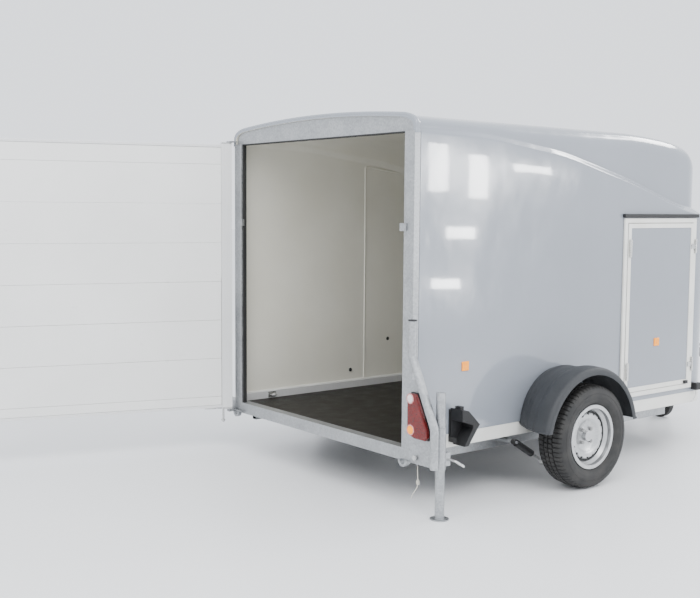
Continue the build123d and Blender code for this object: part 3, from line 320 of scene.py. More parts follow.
def wheel_silver():
    """Silver wheel lacquer: metallic flake under clear coat, with brake dust."""
    shader = Shader("wheel_silver", metallic=0.8, roughness=0.34, coat=0.3)
    flake = shader.node("ShaderNodeSeparateColor", inputs={0: shader.cells(1600.0)})
    grime = shader.noise(16.0, 7.0)
    tones = shader.blend(flake * 0.4 + 0.3, (0.36, 0.365, 0.37), (0.58, 0.585, 0.59))
    shader.wire("Base Color", shader.blend(grime.clear(0.6, 0.85) * 0.45, tones, (0.30, 0.28, 0.25)))
    shader.wire("Roughness", grime * 0.2 + 0.24)
    shader.bump(flake * 0.00002 + shader.noise(70.0, 2.0) * 0.0001, 1.0, 1.0)
    return shader.material


def lens(name, deep, bright, painted_glow=0.0):
    """Coloured lamp lens: prism cells moulded behind a smooth, glossy face, and a painted glow from emission when the
    last argument is above nought.
    """
    shader = Shader(name, roughness=0.12, coat=0.35)
    shader.surface.inputs["Specular IOR Level"].default_value = 0.3
    shader.surface.inputs["Coat Roughness"].default_value = 0.03
    prism = shader.cells(240.0, "Distance")
    sparkle = shader.node("ShaderNodeSeparateColor", inputs={0: shader.cells(240.0)})
    shader.wire("Base Color", shader.blend(prism.clear(0.1, 0.9) * 0.6 + sparkle * 0.4, deep, bright))
    shader.wire("Roughness", prism * 0.2 + 0.08)
    # The emission is a painted glow: it makes the lens brighter with no lit lamp behind it.
    shader.wire("Emission Color", shader.blend(sparkle, deep, bright))
    shader.surface.inputs["Emission Strength"].default_value = painted_glow
    shader.bump(prism * 0.0008, 0.6, 1.0)
    return shader.material


def floor_board():
    """Phenolic-faced board with an anti-slip wire print, scratched by use."""
    shader = Shader("floor_board", roughness=0.5)
    shader.surface.inputs["Specular IOR Level"].default_value = 0.2
    x, y, _ = shader.axes()
    print_pitch = 2 * math.pi / 0.006
    wires = (x * print_pitch).sine() * (y * print_pitch).sine()
    worn = shader.noise(11.0, 9.0)
    shader.wire("Base Color", shader.blend(worn.clear(0.45, 0.85), (0.008, 0.007, 0.006), (0.028, 0.025, 0.021)))
    shader.wire("Roughness", worn * 0.3 + 0.32)
    shader.bump(wires * 0.0002 + worn * 0.0003, 1.0, 1.0)
    return shader.material


def cord_fibre():
    """Twisted natural-white cord."""
    shader = Shader("cord_fibre", roughness=0.85)
    fibre = shader.noise(900.0, 5.0)
    shader.wire("Base Color", shader.blend(fibre, (0.55, 0.52, 0.44), (0.82, 0.80, 0.72)))
    shader.wire("Roughness", fibre * 0.2 + 0.7)
    shader.bump(fibre * 0.0004, 1.0, 1.0)
    return shader.material


RECIPES = {
    "gel_coat": gel_coat,
    "inside": inner_polyester,
    "cream": cream_profile,
    "galvanised": galvanised,
    "zinc": bright_zinc,
    "stile": lambda: anodised("anodised_stile", (0.86, 0.86, 0.85), (0.70, 0.70, 0.70), (1, 1, 0.02)),
    "plank": lacquered_plank,
    "black": lambda: moulded("black_plastic", (0.006, 0.006, 0.007), (0.025, 0.025, 0.026), 700.0),
    "fender": lambda: moulded("fender_plastic", (0.022, 0.024, 0.027), (0.048, 0.051, 0.055), 420.0, 0.6),
    "seal": lambda: moulded("door_seal", (0.010, 0.010, 0.010), (0.03, 0.03, 0.03), 900.0, 0.7),
    "tyre": tyre_rubber,
    "silver": wheel_silver,
    "casting": lambda: moulded("zinc_casting", (0.20, 0.20, 0.20), (0.36, 0.36, 0.35), 300.0, 0.5),
    "painted_black": lambda: moulded("satin_black_paint", (0.010, 0.010, 0.010), (0.04, 0.04, 0.04), 1500.0, 0.4),
    "red_lens": lambda: lens("red_lens", (0.022, 0.0005, 0.0005), (0.20, 0.004, 0.003)),
    # The amber lens gets a painted glow of 0.45, which brightens the amber lamps and the reflectors.
    "amber_lens": lambda: lens("amber_lens", (0.85, 0.21, 0.0), (1.0, 0.38, 0.0), 0.45),
    "white_lens": lambda: lens("white_lens", (0.52, 0.42, 0.42), (0.92, 0.86, 0.86)),
    "pink_lens": lambda: lens("pink_lens", (0.45, 0.12, 0.12), (0.85, 0.45, 0.43)),
    "board": floor_board,
    "cord": cord_fibre,
}
_made = {}


def finish(name):
    """The material of that name, made when first asked for."""
    if name not in _made:
        _made[name] = RECIPES[name]()
    return _made[name]


# ---- Mesh helpers --------------------------------------------------------------------------------
def piece(name, body, materials, vertices=None, faces=None, mesh=None, sharp=40.0):
    """Object made of the given mesh that rides on a body."""
    if mesh is None:
        mesh = bpy.data.meshes.new(name)
        mesh.from_pydata([tuple(v) for v in vertices], [], faces)
    for material in materials:
        mesh.materials.append(finish(material))
    obj = bpy.data.objects.new(name, mesh)
    bpy.context.scene.collection.objects.link(obj)
    mesh.shade_smooth()
    mesh.set_sharp_from_angle(angle=math.radians(sharp))
    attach(obj, body)
    return obj


def apply_modifiers(obj):
    """Puts the result of an object's modifiers into its mesh."""
    graph = bpy.context.evaluated_depsgraph_get()
    mesh = bpy.data.meshes.new_from_object(obj.evaluated_get(graph))
    obj.modifiers.clear()
    obj.data = mesh


def tidy_mesh(mesh, merge=2e-5):
    work = bmesh.new()
    work.from_mesh(mesh)
    bmesh.ops.remove_doubles(work, verts=work.verts, dist=merge)
    bmesh.ops.dissolve_degenerate(work, edges=work.edges, dist=merge)
    bmesh.ops.recalc_face_normals(work, faces=work.faces)
    work.to_mesh(mesh)
    work.free()


def softened(node, edge, choose, sharp=35.0):
    """The node's pieces with their edges rounded; choose gives each piece's finish from its box."""
    body = BODY_OF[node]
    work = bmesh.new()
    work.from_mesh(frame["nodes"][node].data)
    bmesh.ops.remove_doubles(work, verts=work.verts, dist=1e-5)
    bmesh.ops.dissolve_limit(work, angle_limit=math.radians(0.5), verts=work.verts, edges=work.edges)
    left = set(work.faces)
    groups = []
    while left:
        start = left.pop()
        group, queue = {start}, [start]
        while queue:
            for side in queue.pop().edges:
                for face in side.link_faces:
                    if face in left:
                        left.discard(face)
                        group.add(face)
                        queue.append(face)
        groups.append(group)
    names = {}
    for group in groups:
        points = [v.co for face in group for v in face.verts]
        low = Vector([min(p[i] for p in points) for i in range(3)])
        high = Vector([max(p[i] for p in points) for i in range(3)])
        names.setdefault(choose(low, high), []).append(group)
    made = []
    for material, members in names.items():
        faces = [face for group in members for face in group]
        numbers = {}
        vertices = []
        for face in faces:
            for v in face.verts:
                if v not in numbers:
                    numbers[v] = len(vertices)
                    vertices.append(v.co.copy())
        outline = [[numbers[v] for v in face.verts] for face in faces]
        suffix = f"_{material}" if len(names) > 1 else ""
        obj = piece(f"{node}{suffix}_looks", body, [material], vertices, outline, sharp=sharp)
        if edge:
            bevel = obj.modifiers.new("edges", "BEVEL")
            bevel.width = edge
            bevel.segments = 2
            bevel.limit_method = "ANGLE"
            bevel.angle_limit = math.radians(sharp)
            bevel.harden_normals = True
            apply_modifiers(obj)
        made.append(obj)
    work.free()
    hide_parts(node)
    return made


def lathe(profile, centre, steps, along=Vector((0, 1, 0)), start=Vector((1, 0, 0)), wave=None):
    """Rings of points round an axis; profile pairs are (distance along the axis, radius)."""
    side = along.cross(start)
    vertices, faces = [], []
    count = len(profile)
    for i in range(steps):
        turn = 2 * math.pi * i / steps
        outward = start * math.cos(turn) + side * math.sin(turn)
        for k, (reach, radius) in enumerate(profile):
            drop = wave(i, k) if wave else 0.0
            vertices.append(centre + along * reach + outward * (radius - drop))
    for i in range(steps):
        for k in range(count):
            a, b = i * count + k, i * count + (k + 1) % count
            j = (i + 1) % steps
            faces.append((a, b, j * count + (k + 1) % count, j * count + k))
    return vertices, faces


def box_with_edges(name, body, material, low, high, edge):
    """Box with rounded edges between two corners."""
    vertices = [(x, y, z) for x in (low.x, high.x) for y in (low.y, high.y) for z in (low.z, high.z)]
    faces = [(0, 1, 3, 2), (4, 6, 7, 5), (0, 4, 5, 1), (2, 3, 7, 6), (0, 2, 6, 4), (1, 5, 7, 3)]
    obj = piece(name, body, [material], vertices, faces)
    bevel = obj.modifiers.new("edges", "BEVEL")
    bevel.width = edge
    bevel.segments = 3
    apply_modifiers(obj)
    return obj


def swept(name, body, material, points, radius, steps=12):
    """Round bar along points, with its bends smoothed."""
    curve = bpy.data.curves.new(name, "CURVE")
    curve.dimensions = "3D"
    line = curve.splines.new("NURBS")
    line.points.add(len(points) - 1)
    for target, point in zip(line.points, points):
        target.co = (*point, 1.0)
    line.order_u = 3
    line.use_endpoint_u = True
    curve.resolution_u = steps
    curve.bevel_depth = radius
    curve.bevel_resolution = 6
    curve.use_fill_caps = True
    holder = bpy.data.objects.new(name, curve)
    bpy.context.scene.collection.objects.link(holder)
    graph = bpy.context.evaluated_depsgraph_get()
    mesh = bpy.data.meshes.new_from_object(holder.evaluated_get(graph))
    bpy.data.objects.remove(holder)
    return piece(name, body, [material], mesh=mesh)


# ---- Body ----------------------------------------------------------------------------------------
SWAGE = ((0, 1.950), (0.532, 1.938), (1.187, 1.858), (1.849, 1.702), (2.384, 1.545), (2.9, 1.500))
ROOF_DROP = (
    (0, 0.0), (1.9, -0.006), (2.19, -0.024), (2.38, -0.048), (2.49, -0.085), (2.58, -0.140),
    (2.68, -0.240), (2.9, -0.330),
)
ROOF_EDGE = 2.043
ROOF_CAMBER = 0.030
ROOF_CORNER = 0.095
SIDE_FRONT = 2.600
NOSE_BULGE = 0.270
NOSE_CORNER = 0.220
DOME_INSET = 0.054
DOME_SETBACK = 0.070
LEDGE_RISE = 0.050
LEDGE_FULL_X = 1.849
EDGE_RADIUS = 0.009
FAN_X = 2.15
WALL = 0.012


def on_line(points, x):
    for (x0, z0), (x1, z1) in zip(points, points[1:]):
        if x <= x1:
            return z0 + (z1 - z0) * max(x - x0, 0) / (x1 - x0)
    return points[-1][1]


def eased(points, x, reach=0.11):
    """Height on the line through the points, with its corners rounded off."""
    return sum(on_line(points, x + reach * k / 4) for k in range(-4, 5)) / 9


def plan_points(half, front, corner, counts):
    """Plan outline of one side from the rear to the middle of the nose, as x and y."""
    radius = (half**2 + NOSE_BULGE**2) / (2 * NOSE_BULGE)
    centre = front + NOSE_BULGE - radius
    corner_x = centre + math.sqrt((radius - corner) ** 2 - (half - corner) ** 2)
    turn = math.atan2(half - corner, corner_x - centre)
    points = [(corner_x * i / counts[0], half) for i in range(counts[0])]
    for i in range(counts[1]):
        angle = math.pi / 2 + (turn - math.pi / 2) * i / counts[1]
        points.append((corner_x + corner * math.cos(angle), half - corner + corner * math.sin(angle)))
    for i in range(counts[2] + 1):
        angle = turn * (1 - i / counts[2])
        points.append((centre + radius * math.cos(angle), radius * math.sin(angle)))
    return points


def rounded(points, radius, steps=4):
    """Polyline in 3-D with its inner corners turned into arcs."""
    result = [points[0]]
    for before, here, after in zip(points, points[1:], points[2:]):
        reach = min(radius, 0.45 * (before - here).length, 0.45 * (after - here).length)
        first = here + (before - here).normalized() * reach
        last = here + (after - here).normalized() * reach
        for i in range(steps + 1):
            t = i / steps
            result.append(first * (1 - t) ** 2 + here * 2 * t * (1 - t) + last * t**2)
    return result + [points[-1]]


def body_skin(inset, counts=(44, 14, 26)):
    """Columns of points over the left half of the body, from its lower edge to the roof's middle line."""
    low = plan_points(HALF - inset, SIDE_FRONT - inset, NOSE_CORNER - inset, counts)
    dome = plan_points(
        HALF - DOME_INSET - inset, SIDE_FRONT - DOME_SETBACK - inset, NOSE_CORNER - inset, counts
    )
    flat_half = HALF - DOME_INSET - ROOF_CORNER
    columns = []
    for (x, y), (x_up, y_up) in zip(low, dome):
        share = min(x / LEDGE_FULL_X, 1.0)
        y_up = (1 - share) * (y - 0.004) + share * y_up if x < LEDGE_FULL_X else y_up
        swage = eased(SWAGE, x) - inset / 2
        rise = LEDGE_RISE * (0.3 + 0.7 * share)

        def roof(px, py):
            drop = eased(ROOF_DROP, px) - inset
            return ROOF_EDGE + drop + ROOF_CAMBER * (1 - (py / flat_half) ** 2)

        target_x = min(x_up, FAN_X)
        away = Vector((target_x - x_up, -y_up)).normalized()
        inner = Vector((x_up, y_up)) + away * ROOF_CORNER
        edge = at(inner.x, inner.y, roof(inner.x, inner.y))
        eave = at(x_up, y_up, max(roof(x_up, y_up) - 0.004, swage + rise + 0.05))
        shoulder = at(x_up, y_up, max(eave.z - GROUND - ROOF_CORNER, swage + rise + 0.02))
        corners = [at(x, y, SHELL_LOW), at(x, y, swage), at(x_up, y_up, swage + rise), shoulder]
        column = rounded(corners, EDGE_RADIUS)
        lower = column[0]
        straight = [lower.lerp(column[1], k / 12) for k in range(12)]
        column = straight + column[1:]
        for i in range(1, 9):
            t = i / 8
            column.append(shoulder * (1 - t) ** 2 + eave * 2 * t * (1 - t) + edge * t**2)
        for i in range(1, 11):
            t = i / 10
            px, py = inner.x + (target_x - inner.x) * t, inner.y * (1 - t)
            column.append(at(px, py, roof(px, py)))
        columns.append(column)
    return columns


def both_sides(columns):
    """Left columns followed by their mirror images on the right."""
    right = [[Vector((p.x, -p.y, p.z)) for p in column] for column in reversed(columns[:-1])]
    return columns + right


def make_shell():
    outer, inner = both_sides(body_skin(0.0)), both_sides(body_skin(WALL))
    tall = len(outer[0])
    wide = len(outer)
    vertices = [p for column in outer for p in column] + [p for column in inner for p in column]
    shift = wide * tall
    faces, inside = [], []
    for i in range(wide - 1):
        for k in range(tall - 1):
            a, b, c, d = i * tall + k, i * tall + k + 1, (i + 1) * tall + k + 1, (i + 1) * tall + k
            faces.append((a, d, c, b))
            inside.append(0)
            faces.append((a + shift, b + shift, c + shift, d + shift))
            inside.append(1)
        a, d = i * tall, (i + 1) * tall
        faces.append((a, a + shift, d + shift, d))
        inside.append(0)
    for i, order in ((0, 1), (wide - 1, -1)):
        for k in range(tall - 1):
            a, b = i * tall + k, i * tall + k + 1
            faces.append((a, b, b + shift, a + shift)[::order])
            inside.append(0)
    mesh = bpy.data.meshes.new("body_shell")
    mesh.from_pydata([tuple(v) for v in vertices], [], faces)
    mesh.polygons.foreach_set("material_index", inside)
    tidy_mesh(mesh)
    obj = piece("body_shell_looks", BODY_OF["body_shell"], ["gel_coat", "inside"], mesh=mesh, sharp=50.0)
    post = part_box("rear_frame")
    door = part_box("side_door_frame")
    frame_band = 0.030
    cuts = [
        (Vector((post[0].x - 0.05, -HALF - 0.05, GROUND)), Vector((REAR + 0.040, -OPENING_HALF + 0.06, GROUND + OPENING_TOP))),
        (Vector((post[0].x - 0.05, OPENING_HALF - 0.06, GROUND)), Vector((REAR + 0.040, HALF + 0.05, GROUND + OPENING_TOP))),
        (
            Vector((door[0].x + frame_band, -HALF - 0.05, door[0].z + frame_band)),
            Vector((door[1].x - frame_band, -HALF + 0.05, door[1].z - frame_band)),
        ),
    ]
    for low, high in cuts:
        corners = [(x, y, z) for x in (low.x, high.x) for y in (low.y, high.y) for z in (low.z, high.z)]
        sides = [(0, 1, 3, 2), (4, 6, 7, 5), (0, 4, 5, 1), (2, 3, 7, 6), (0, 2, 6, 4), (1, 5, 7, 3)]
        block = bpy.data.meshes.new("cut")
        block.from_pydata(corners, [], sides)
        cutter = bpy.data.objects.new("cut", block)
        bpy.context.scene.collection.objects.link(cutter)
        cut = obj.modifiers.new("cut", "BOOLEAN")
        cut.object = cutter
        cut.operation = "DIFFERENCE"
        cut.solver = "EXACT"
        apply_modifiers(obj)
        bpy.data.objects.remove(cutter)
    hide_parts("body_shell")
    return obj


def make_roof_bead():
    """Rolled bead round the rear end of the roof."""
    column = body_skin(0.0)[0]
    arch = [p for p in column if p.z > GROUND + OPENING_TOP - 0.03]
    line = arch + [Vector((p.x, -p.y, p.z)) for p in reversed(arch[:-1])]
    reach = 0.013
    section = [(0.0, -0.004), (0.0, 0.6), (0.15, 0.93), (0.4, 1.0), (0.75, 0.97), (1.0, 0.7), (1.25, 0.3), (1.5, 0.0)]
    length = 0.026
    vertices, faces = [], []
    for i, p in enumerate(line):
        ahead, behind = line[min(i + 1, len(line) - 1)], line[max(i - 1, 0)]
        run = (ahead - behind).normalized()
        outward = Vector((0, run.z, -run.y))
        outward = outward if outward.dot(p - at(0, 0, 1.5)) > 0 else -outward
        for forward, height in section:
            vertices.append(p + Vector((forward * length - 0.001, 0, 0)) + outward * height * reach)
    count = len(section)
    for i in range(len(line) - 1):
        for k in range(count - 1):
            a = i * count + k
            faces.append((a, a + 1, a + count + 1, a + count))
        faces.append((i * count + count - 1, i * count, (i + 1) * count, (i + 1) * count + count - 1))
    faces.append(tuple(range(count)))
    faces.append(tuple(reversed(range((len(line) - 1) * count, len(line) * count))))
    obj = piece("roof_bead", BODY_OF["body_shell"], ["gel_coat"], vertices, faces, sharp=60.0)
    tidy_mesh(obj.data)


def make_inner_ribs():
    """Raised outlines moulded into the inner wall, on both sides, and one arch under the roof."""
    rib_x, rib_top, far_x = 1.056, 1.845, 2.25
    wall = HALF - WALL + 0.001
    for side, name in ((1, "left"), (-1, "right")):
        route = [at(rib_x, side * wall, 0.375), at(rib_x, side * wall, 1.0), at(rib_x, side * wall, rib_top - 0.03)]
        route += [at(rib_x, side * wall, rib_top), at(rib_x + 0.04, side * wall, rib_top)]
        if side > 0:
            route += [at(1.6, side * wall, rib_top - 0.06), at(1.75, side * wall, 1.70)]
        swept(f"inner_rib_{name}", BODY_OF["body_shell"], "inside", route, 0.007)
    arch = []
    for i in range(13):
        angle = math.pi * (0.08 + 0.84 * i / 12)
        arch.append(at(far_x, 0.755 * math.cos(angle), 1.66 + 0.345 * math.sin(angle) ** 0.6))
    swept("ceiling_rib", BODY_OF["body_shell"], "inside", arch, 0.012)
    plugs = ((0.933, 0.439), (1.272, 0.634))
    for side, name in ((1, "left"), (-1, "right")):
        for i, (x, z) in enumerate(plugs):
            profile = [(0.0, 0.0001), (0.0, 0.013), (0.003, 0.0125), (0.006, 0.009), (0.007, 0.0001)]
            centre = at(x, side * (wall - 0.001), z)
            vertices, faces = lathe(profile, centre, 24, along=Vector((0, -side, 0)))
            obj = piece(f"wall_plug_{name}_{i + 1}", BODY_OF["body_shell"], ["black"], vertices, faces)
            tidy_mesh(obj.data)


# ---- Wheels and fenders --------------------------------------------------------------------------
def make_tyre(side):
    low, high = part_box(f"tyre_{side}")
    centre = (low + high) / 2
    radius, half = (high.x - low.x) / 2, (high.y - low.y) / 2
    rim_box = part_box(f"wheel_rim_{side}")
    flange = (rim_box[1].x - rim_box[0].x) / 2
    out = 1 if side == "left" else -1
    bead = 0.0685
    ribs = (-0.062, -0.030, 0.0, 0.030, 0.062)
    profile = [(-bead, flange - 0.016), (-bead, flange + 0.004), (-half + 0.008, flange + 0.020)]
    profile += [(-half + 0.001, flange + 0.042), (-half, 0.238), (-half + 0.004, 0.262), (-half + 0.010, 0.274)]
    profile += [(-half + 0.016, 0.281), (-half + 0.024, 0.287)]
    tread_start = len(profile)
    for rib, nextrib in zip(ribs, ribs[1:]):
        for share in (0.14, 0.5, 0.86):
            reach = rib + (nextrib - rib) * share
            profile.append((reach, radius - 0.06 * abs(reach) ** 1.6 * 10))
        if nextrib != ribs[-1]:
            floor = radius - 0.009
            profile += [(nextrib - 0.0035, floor), (nextrib + 0.0035, floor)]
    tread_end = len(profile)
    profile += [(-reach, r) for reach, r in reversed(profile[:tread_start])]
    profile += [(bead - 0.012, flange - 0.016), (bead - 0.006, flange + 0.012), (half - 0.014, 0.235)]
    profile += [(half - 0.03, 0.268), (0.0, 0.279), (-half + 0.03, 0.268), (-half + 0.014, 0.235)]
    profile += [(-bead + 0.006, flange + 0.012), (-bead + 0.012, flange - 0.016)]
    shoulders = {tread_start - 1, tread_start - 2, tread_end, tread_end + 1}
    blocks, per_block = 66, 6

    def wave(i, k):
        shift = 2 if tread_start + 5 <= k < tread_end - 5 else 0
        groove = (i + shift) % per_block == 0
        if k in shoulders:
            return 0.006 if groove else 0.0
        if tread_start <= k < tread_end:
            return 0.006 if groove else 0.0
        return 0.0

    vertices, faces = lathe(profile, Vector((centre.x, centre.y, GROUND + radius)), blocks * per_block, wave=wave)
    obj = piece(f"tyre_{side}_looks", BODY_OF[f"tyre_{side}"], ["tyre"], vertices, faces, sharp=32.0)
    tidy_mesh(obj.data)
    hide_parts(f"tyre_{side}")
    rings = (0.222, 0.245)
    for n, ring in enumerate(rings):
        at_y = half - (0.0015 if n else 0.0022)
        bead_line = [(at_y * out, ring), (at_y * out + 0.0016 * out, ring + 0.001), (at_y * out, ring + 0.002)]
        bead_line += [(at_y * out - 0.003 * out, ring + 0.001)]
        vertices, faces = lathe(bead_line, Vector((centre.x, centre.y, GROUND + radius)), 160)
        line = piece(f"tyre_line_{side}_{n + 1}", BODY_OF[f"tyre_{side}"], ["tyre"], vertices, faces)
        tidy_mesh(line.data)


def make_painted_shade_ring(side):
    """Dark ring behind the disc, a sheet of painted shade seen through the wheel's ventilation holes where the inside
    of the wheel is in shade.
    """
    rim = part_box(f"wheel_rim_{side}")
    centre = (rim[0] + rim[1]) / 2
    out = 1 if side == "left" else -1
    profile = [(reach * out, radius) for reach, radius in ((0.030, 0.112), (0.034, 0.112), (0.034, 0.140))]
    profile.append((0.030 * out, 0.140))
    vertices, faces = lathe(profile, Vector((centre.x, centre.y, centre.z)), 96)
    obj = piece(f"painted_shade_ring_{side}", BODY_OF[f"wheel_rim_{side}"], ["seal"], vertices, faces)
    tidy_mesh(obj.data)


FENDER_RIDGES = (
    (0.000, 0.000), (0.030, 0.006), (0.055, 0.008), (0.075, 0.001), (0.105, 0.000), (0.150, 0.000),
    (0.185, 0.002), (0.200, 0.010), (0.225, 0.012), (0.270, 0.008),
)


def make_fender(side):
    """Moulded arch: ridges round the crown, a rolled outer lip and rolled lower ends."""
    out = 1 if side == "left" else -1
    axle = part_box(f"wheel_rim_{side}")
    axle_x = (axle[0].x + axle[1].x) / 2 - REAR
    axle_z = (axle[0].z + axle[1].z) / 2 - GROUND
    low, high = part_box("fenders")
    reach = high.y
    skin = 0.005

    def across(share):
        """Centre and radius of the arch at a share of the way from the wall to the lip."""
        stations = [
            (HALF + 0.0003, axle_x + 0.015, axle_z + 0.056, 0.312),
            (HALF + 0.130, axle_x - 0.012, axle_z + 0.012, 0.376),
            (reach - 0.045, axle_x - 0.020, axle_z, 0.3935),
        ]
        y = HALF + 0.0003 + (reach - 0.030 - HALF) * share
        for first, last in zip(stations, stations[1:]):
            if y <= last[0] or last is stations[-1]:
                t = min(max((y - first[0]) / (last[0] - first[0]), 0.0), 1.0)
                return y, *[a + (b - a) * t for a, b in zip(first[1:], last[1:])]

    rows = []
    for i in range(27):
        y, x, z, radius = across(i / 26)
        from_wall = y - HALF
        ridge = on_line(FENDER_RIDGES, from_wall)
        rows.append((y, x, z, radius - 0.006 + ridge))
    y, x, z, radius = rows[-1]
    for k in range(1, 7):
        angle = math.pi / 2 * k / 6
        rows.append((y + 0.028 * math.sin(angle), x, z, radius - 0.022 * (1 - math.cos(angle))))
    y, x, z, radius = rows[-1]
    rows.append((y, x, z, radius - 0.014))
    rows.append((y - 0.002, x, z, radius - 0.020))
    bottom = low.z - GROUND
    outer = list(rows)
    inner = [(ry, rx, rz, rr - skin) for ry, rx, rz, rr in reversed(outer[:-2])]
    inner[0] = (inner[0][0] - skin, *inner[0][1:])
    ring = outer + inner
    steps = 72
    vertices, faces = [], []
    for i in range(steps + 1):
        for ry, rx, rz, rr in ring:
            sink = math.asin(min(max((bottom - rz) / rr, -1.0), 1.0))
            angle = sink + (math.pi - 2 * sink) * i / steps
            vertices.append(at(rx + rr * math.cos(angle), out * ry, rz + rr * math.sin(angle)))
    count = len(ring)
    for i in range(steps):
        for k in range(count):
            a, b = i * count + k, i * count + (k + 1) % count
            faces.append((a, b, b + count, a + count))
    faces.append(tuple(range(count)))
    faces.append(tuple(reversed(range(steps * count, (steps + 1) * count))))
    obj = piece(f"fender_{side}_looks", BODY_OF["fenders"], ["fender"], vertices, faces, sharp=38.0)
    tidy_mesh(obj.data)
    for end, turn in (("rear", -1), ("front", 1)):
        route = []
        for ry, rx, rz, rr in outer[:-2:3]:
            sink = math.asin(min(max((bottom + 0.006 - rz) / rr, -1.0), 1.0))
            route.append(at(rx + turn * (rr - 0.001) * math.cos(sink), out * ry, bottom + 0.006))
        roll = swept(f"fender_roll_{side}_{end}", BODY_OF["fenders"], "fender", route, 0.006)
    return obj


# ---- Lanyard -------------------------------------------------------------------------------------
LANYARD = (
    (0.030, -0.870, 0.239), (0.030, -0.8685, 0.222), (0.031, -0.8695, 0.198), (0.030, -0.872, 0.174),
    (0.031, -0.873, 0.150), (0.032, -0.868, 0.127), (0.031, -0.857, 0.107), (0.029, -0.843, 0.090),
    (0.030, -0.829, 0.073), (0.032, -0.820, 0.055),
)
CORD_RADIUS = 0.0022
LAY_PITCH = 0.012


def lanyard_line():
    """Points along the lanyard's smooth line."""
    curve = bpy.data.curves.new("lanyard_line", "CURVE")
    curve.dimensions = "3D"
    line = curve.splines.new("NURBS")
    line.points.add(len(LANYARD) - 1)
    for target, point in zip(line.points, LANYARD):
        target.co = (*at(*point), 1.0)
    line.order_u = 3
    line.use_endpoint_u = True
    curve.resolution_u = 14
    holder = bpy.data.objects.new("lanyard_line", curve)
    bpy.context.scene.collection.objects.link(holder)
    graph = bpy.context.evaluated_depsgraph_get()
    mesh = bpy.data.meshes.new_from_object(holder.evaluated_get(graph))
    points = [v.co.copy() for v in mesh.vertices]
    bpy.data.objects.remove(holder)
    return points


def strands(points, radius, count, pitch, sides=8):
    """Twisted strands laid round a line."""
    thick = radius * 0.54
    offset = radius - thick
    vertices, faces = [], []
    for strand in range(count):
        travelled = 0.0
        first = len(vertices)
        for i, point in enumerate(points):
            run = (points[min(i + 1, len(points) - 1)] - points[max(i - 1, 0)]).normalized()
            side = run.cross(Vector((0, 1, 0.2))).normalized()
            other = run.cross(side)
            travelled += (point - points[i - 1]).length if i else 0.0
            turn = 2 * math.pi * (travelled / pitch + strand / count)
            centre = point + (side * math.cos(turn) + other * math.sin(turn)) * offset
            for k in range(sides):
                angle = 2 * math.pi * k / sides
                vertices.append(centre + (side * math.cos(angle) + other * math.sin(angle)) * thick)
        for i in range(len(points) - 1):
            for k in range(sides):
                a, b = first + i * sides + k, first + i * sides + (k + 1) % sides
                faces.append((a, b, b + sides, a + sides))
        faces.append(tuple(reversed(range(first, first + sides))))
        faces.append(tuple(range(len(vertices) - sides, len(vertices))))
    return vertices, faces


def make_lanyard():
    line = lanyard_line()
    vertices, faces = strands(line, CORD_RADIUS, 3, LAY_PITCH)
    cord = piece("lanyard_cord_looks", BODY_OF["lanyard_cord"], ["cord"], vertices, faces, sharp=60.0)
    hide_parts("lanyard_cord")
    middle = at(*LANYARD[4])
    turns, per_turn = 3, 10
    wraps = []
    for i in range(turns * per_turn + 1):
        angle = 2 * math.pi * i / per_turn
        fall = 0.011 - 0.022 * i / (turns * per_turn)
        radius = 0.0076 + 0.0012 * math.sin(3.1 * angle / turns)
        wraps.append(middle + Vector((radius * math.cos(angle), radius * math.sin(angle), fall)))
    knot = swept("lanyard_knot_looks", BODY_OF["lanyard_knot"], "cord", wraps, CORD_RADIUS, 6)
    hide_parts("lanyard_knot")
    at(*LANYARD[0])


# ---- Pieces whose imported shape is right: rounded edges and a finish ----------------------------------
def guard_part(low, high):
    return "black" if high.z - low.z < 0.02 else "galvanised"


def floor_edge_part(low, high):
    return "stile" if high.x - low.x > 1 else "zinc"


def side_fitting_part(low, high):
    hinge = high.z - low.z < 0.1 and low.z > GROUND + 0.5 and low.x > REAR + 2
    wire = low.z < GROUND + 0.32 and low.x > REAR + 2
    return "zinc" if hinge or wire else "black"


def side_door_part(low, high):
    if low.x < REAR + 2.2:
        return "amber_lens"
    return "black" if low.z < GROUND + 0.5 else "zinc"


def hub_part(low, high):
    across = high.z - low.z
    if across > 0.1:
        return "casting"
    return "silver" if across > 0.04 else "zinc"


def jockey_part(low, high):
    return "tyre" if high.z - low.z > 0.15 else "silver"


def drawbar_part(low, high):
    return "casting" if high.x - low.x > 0.2 else "galvanised"


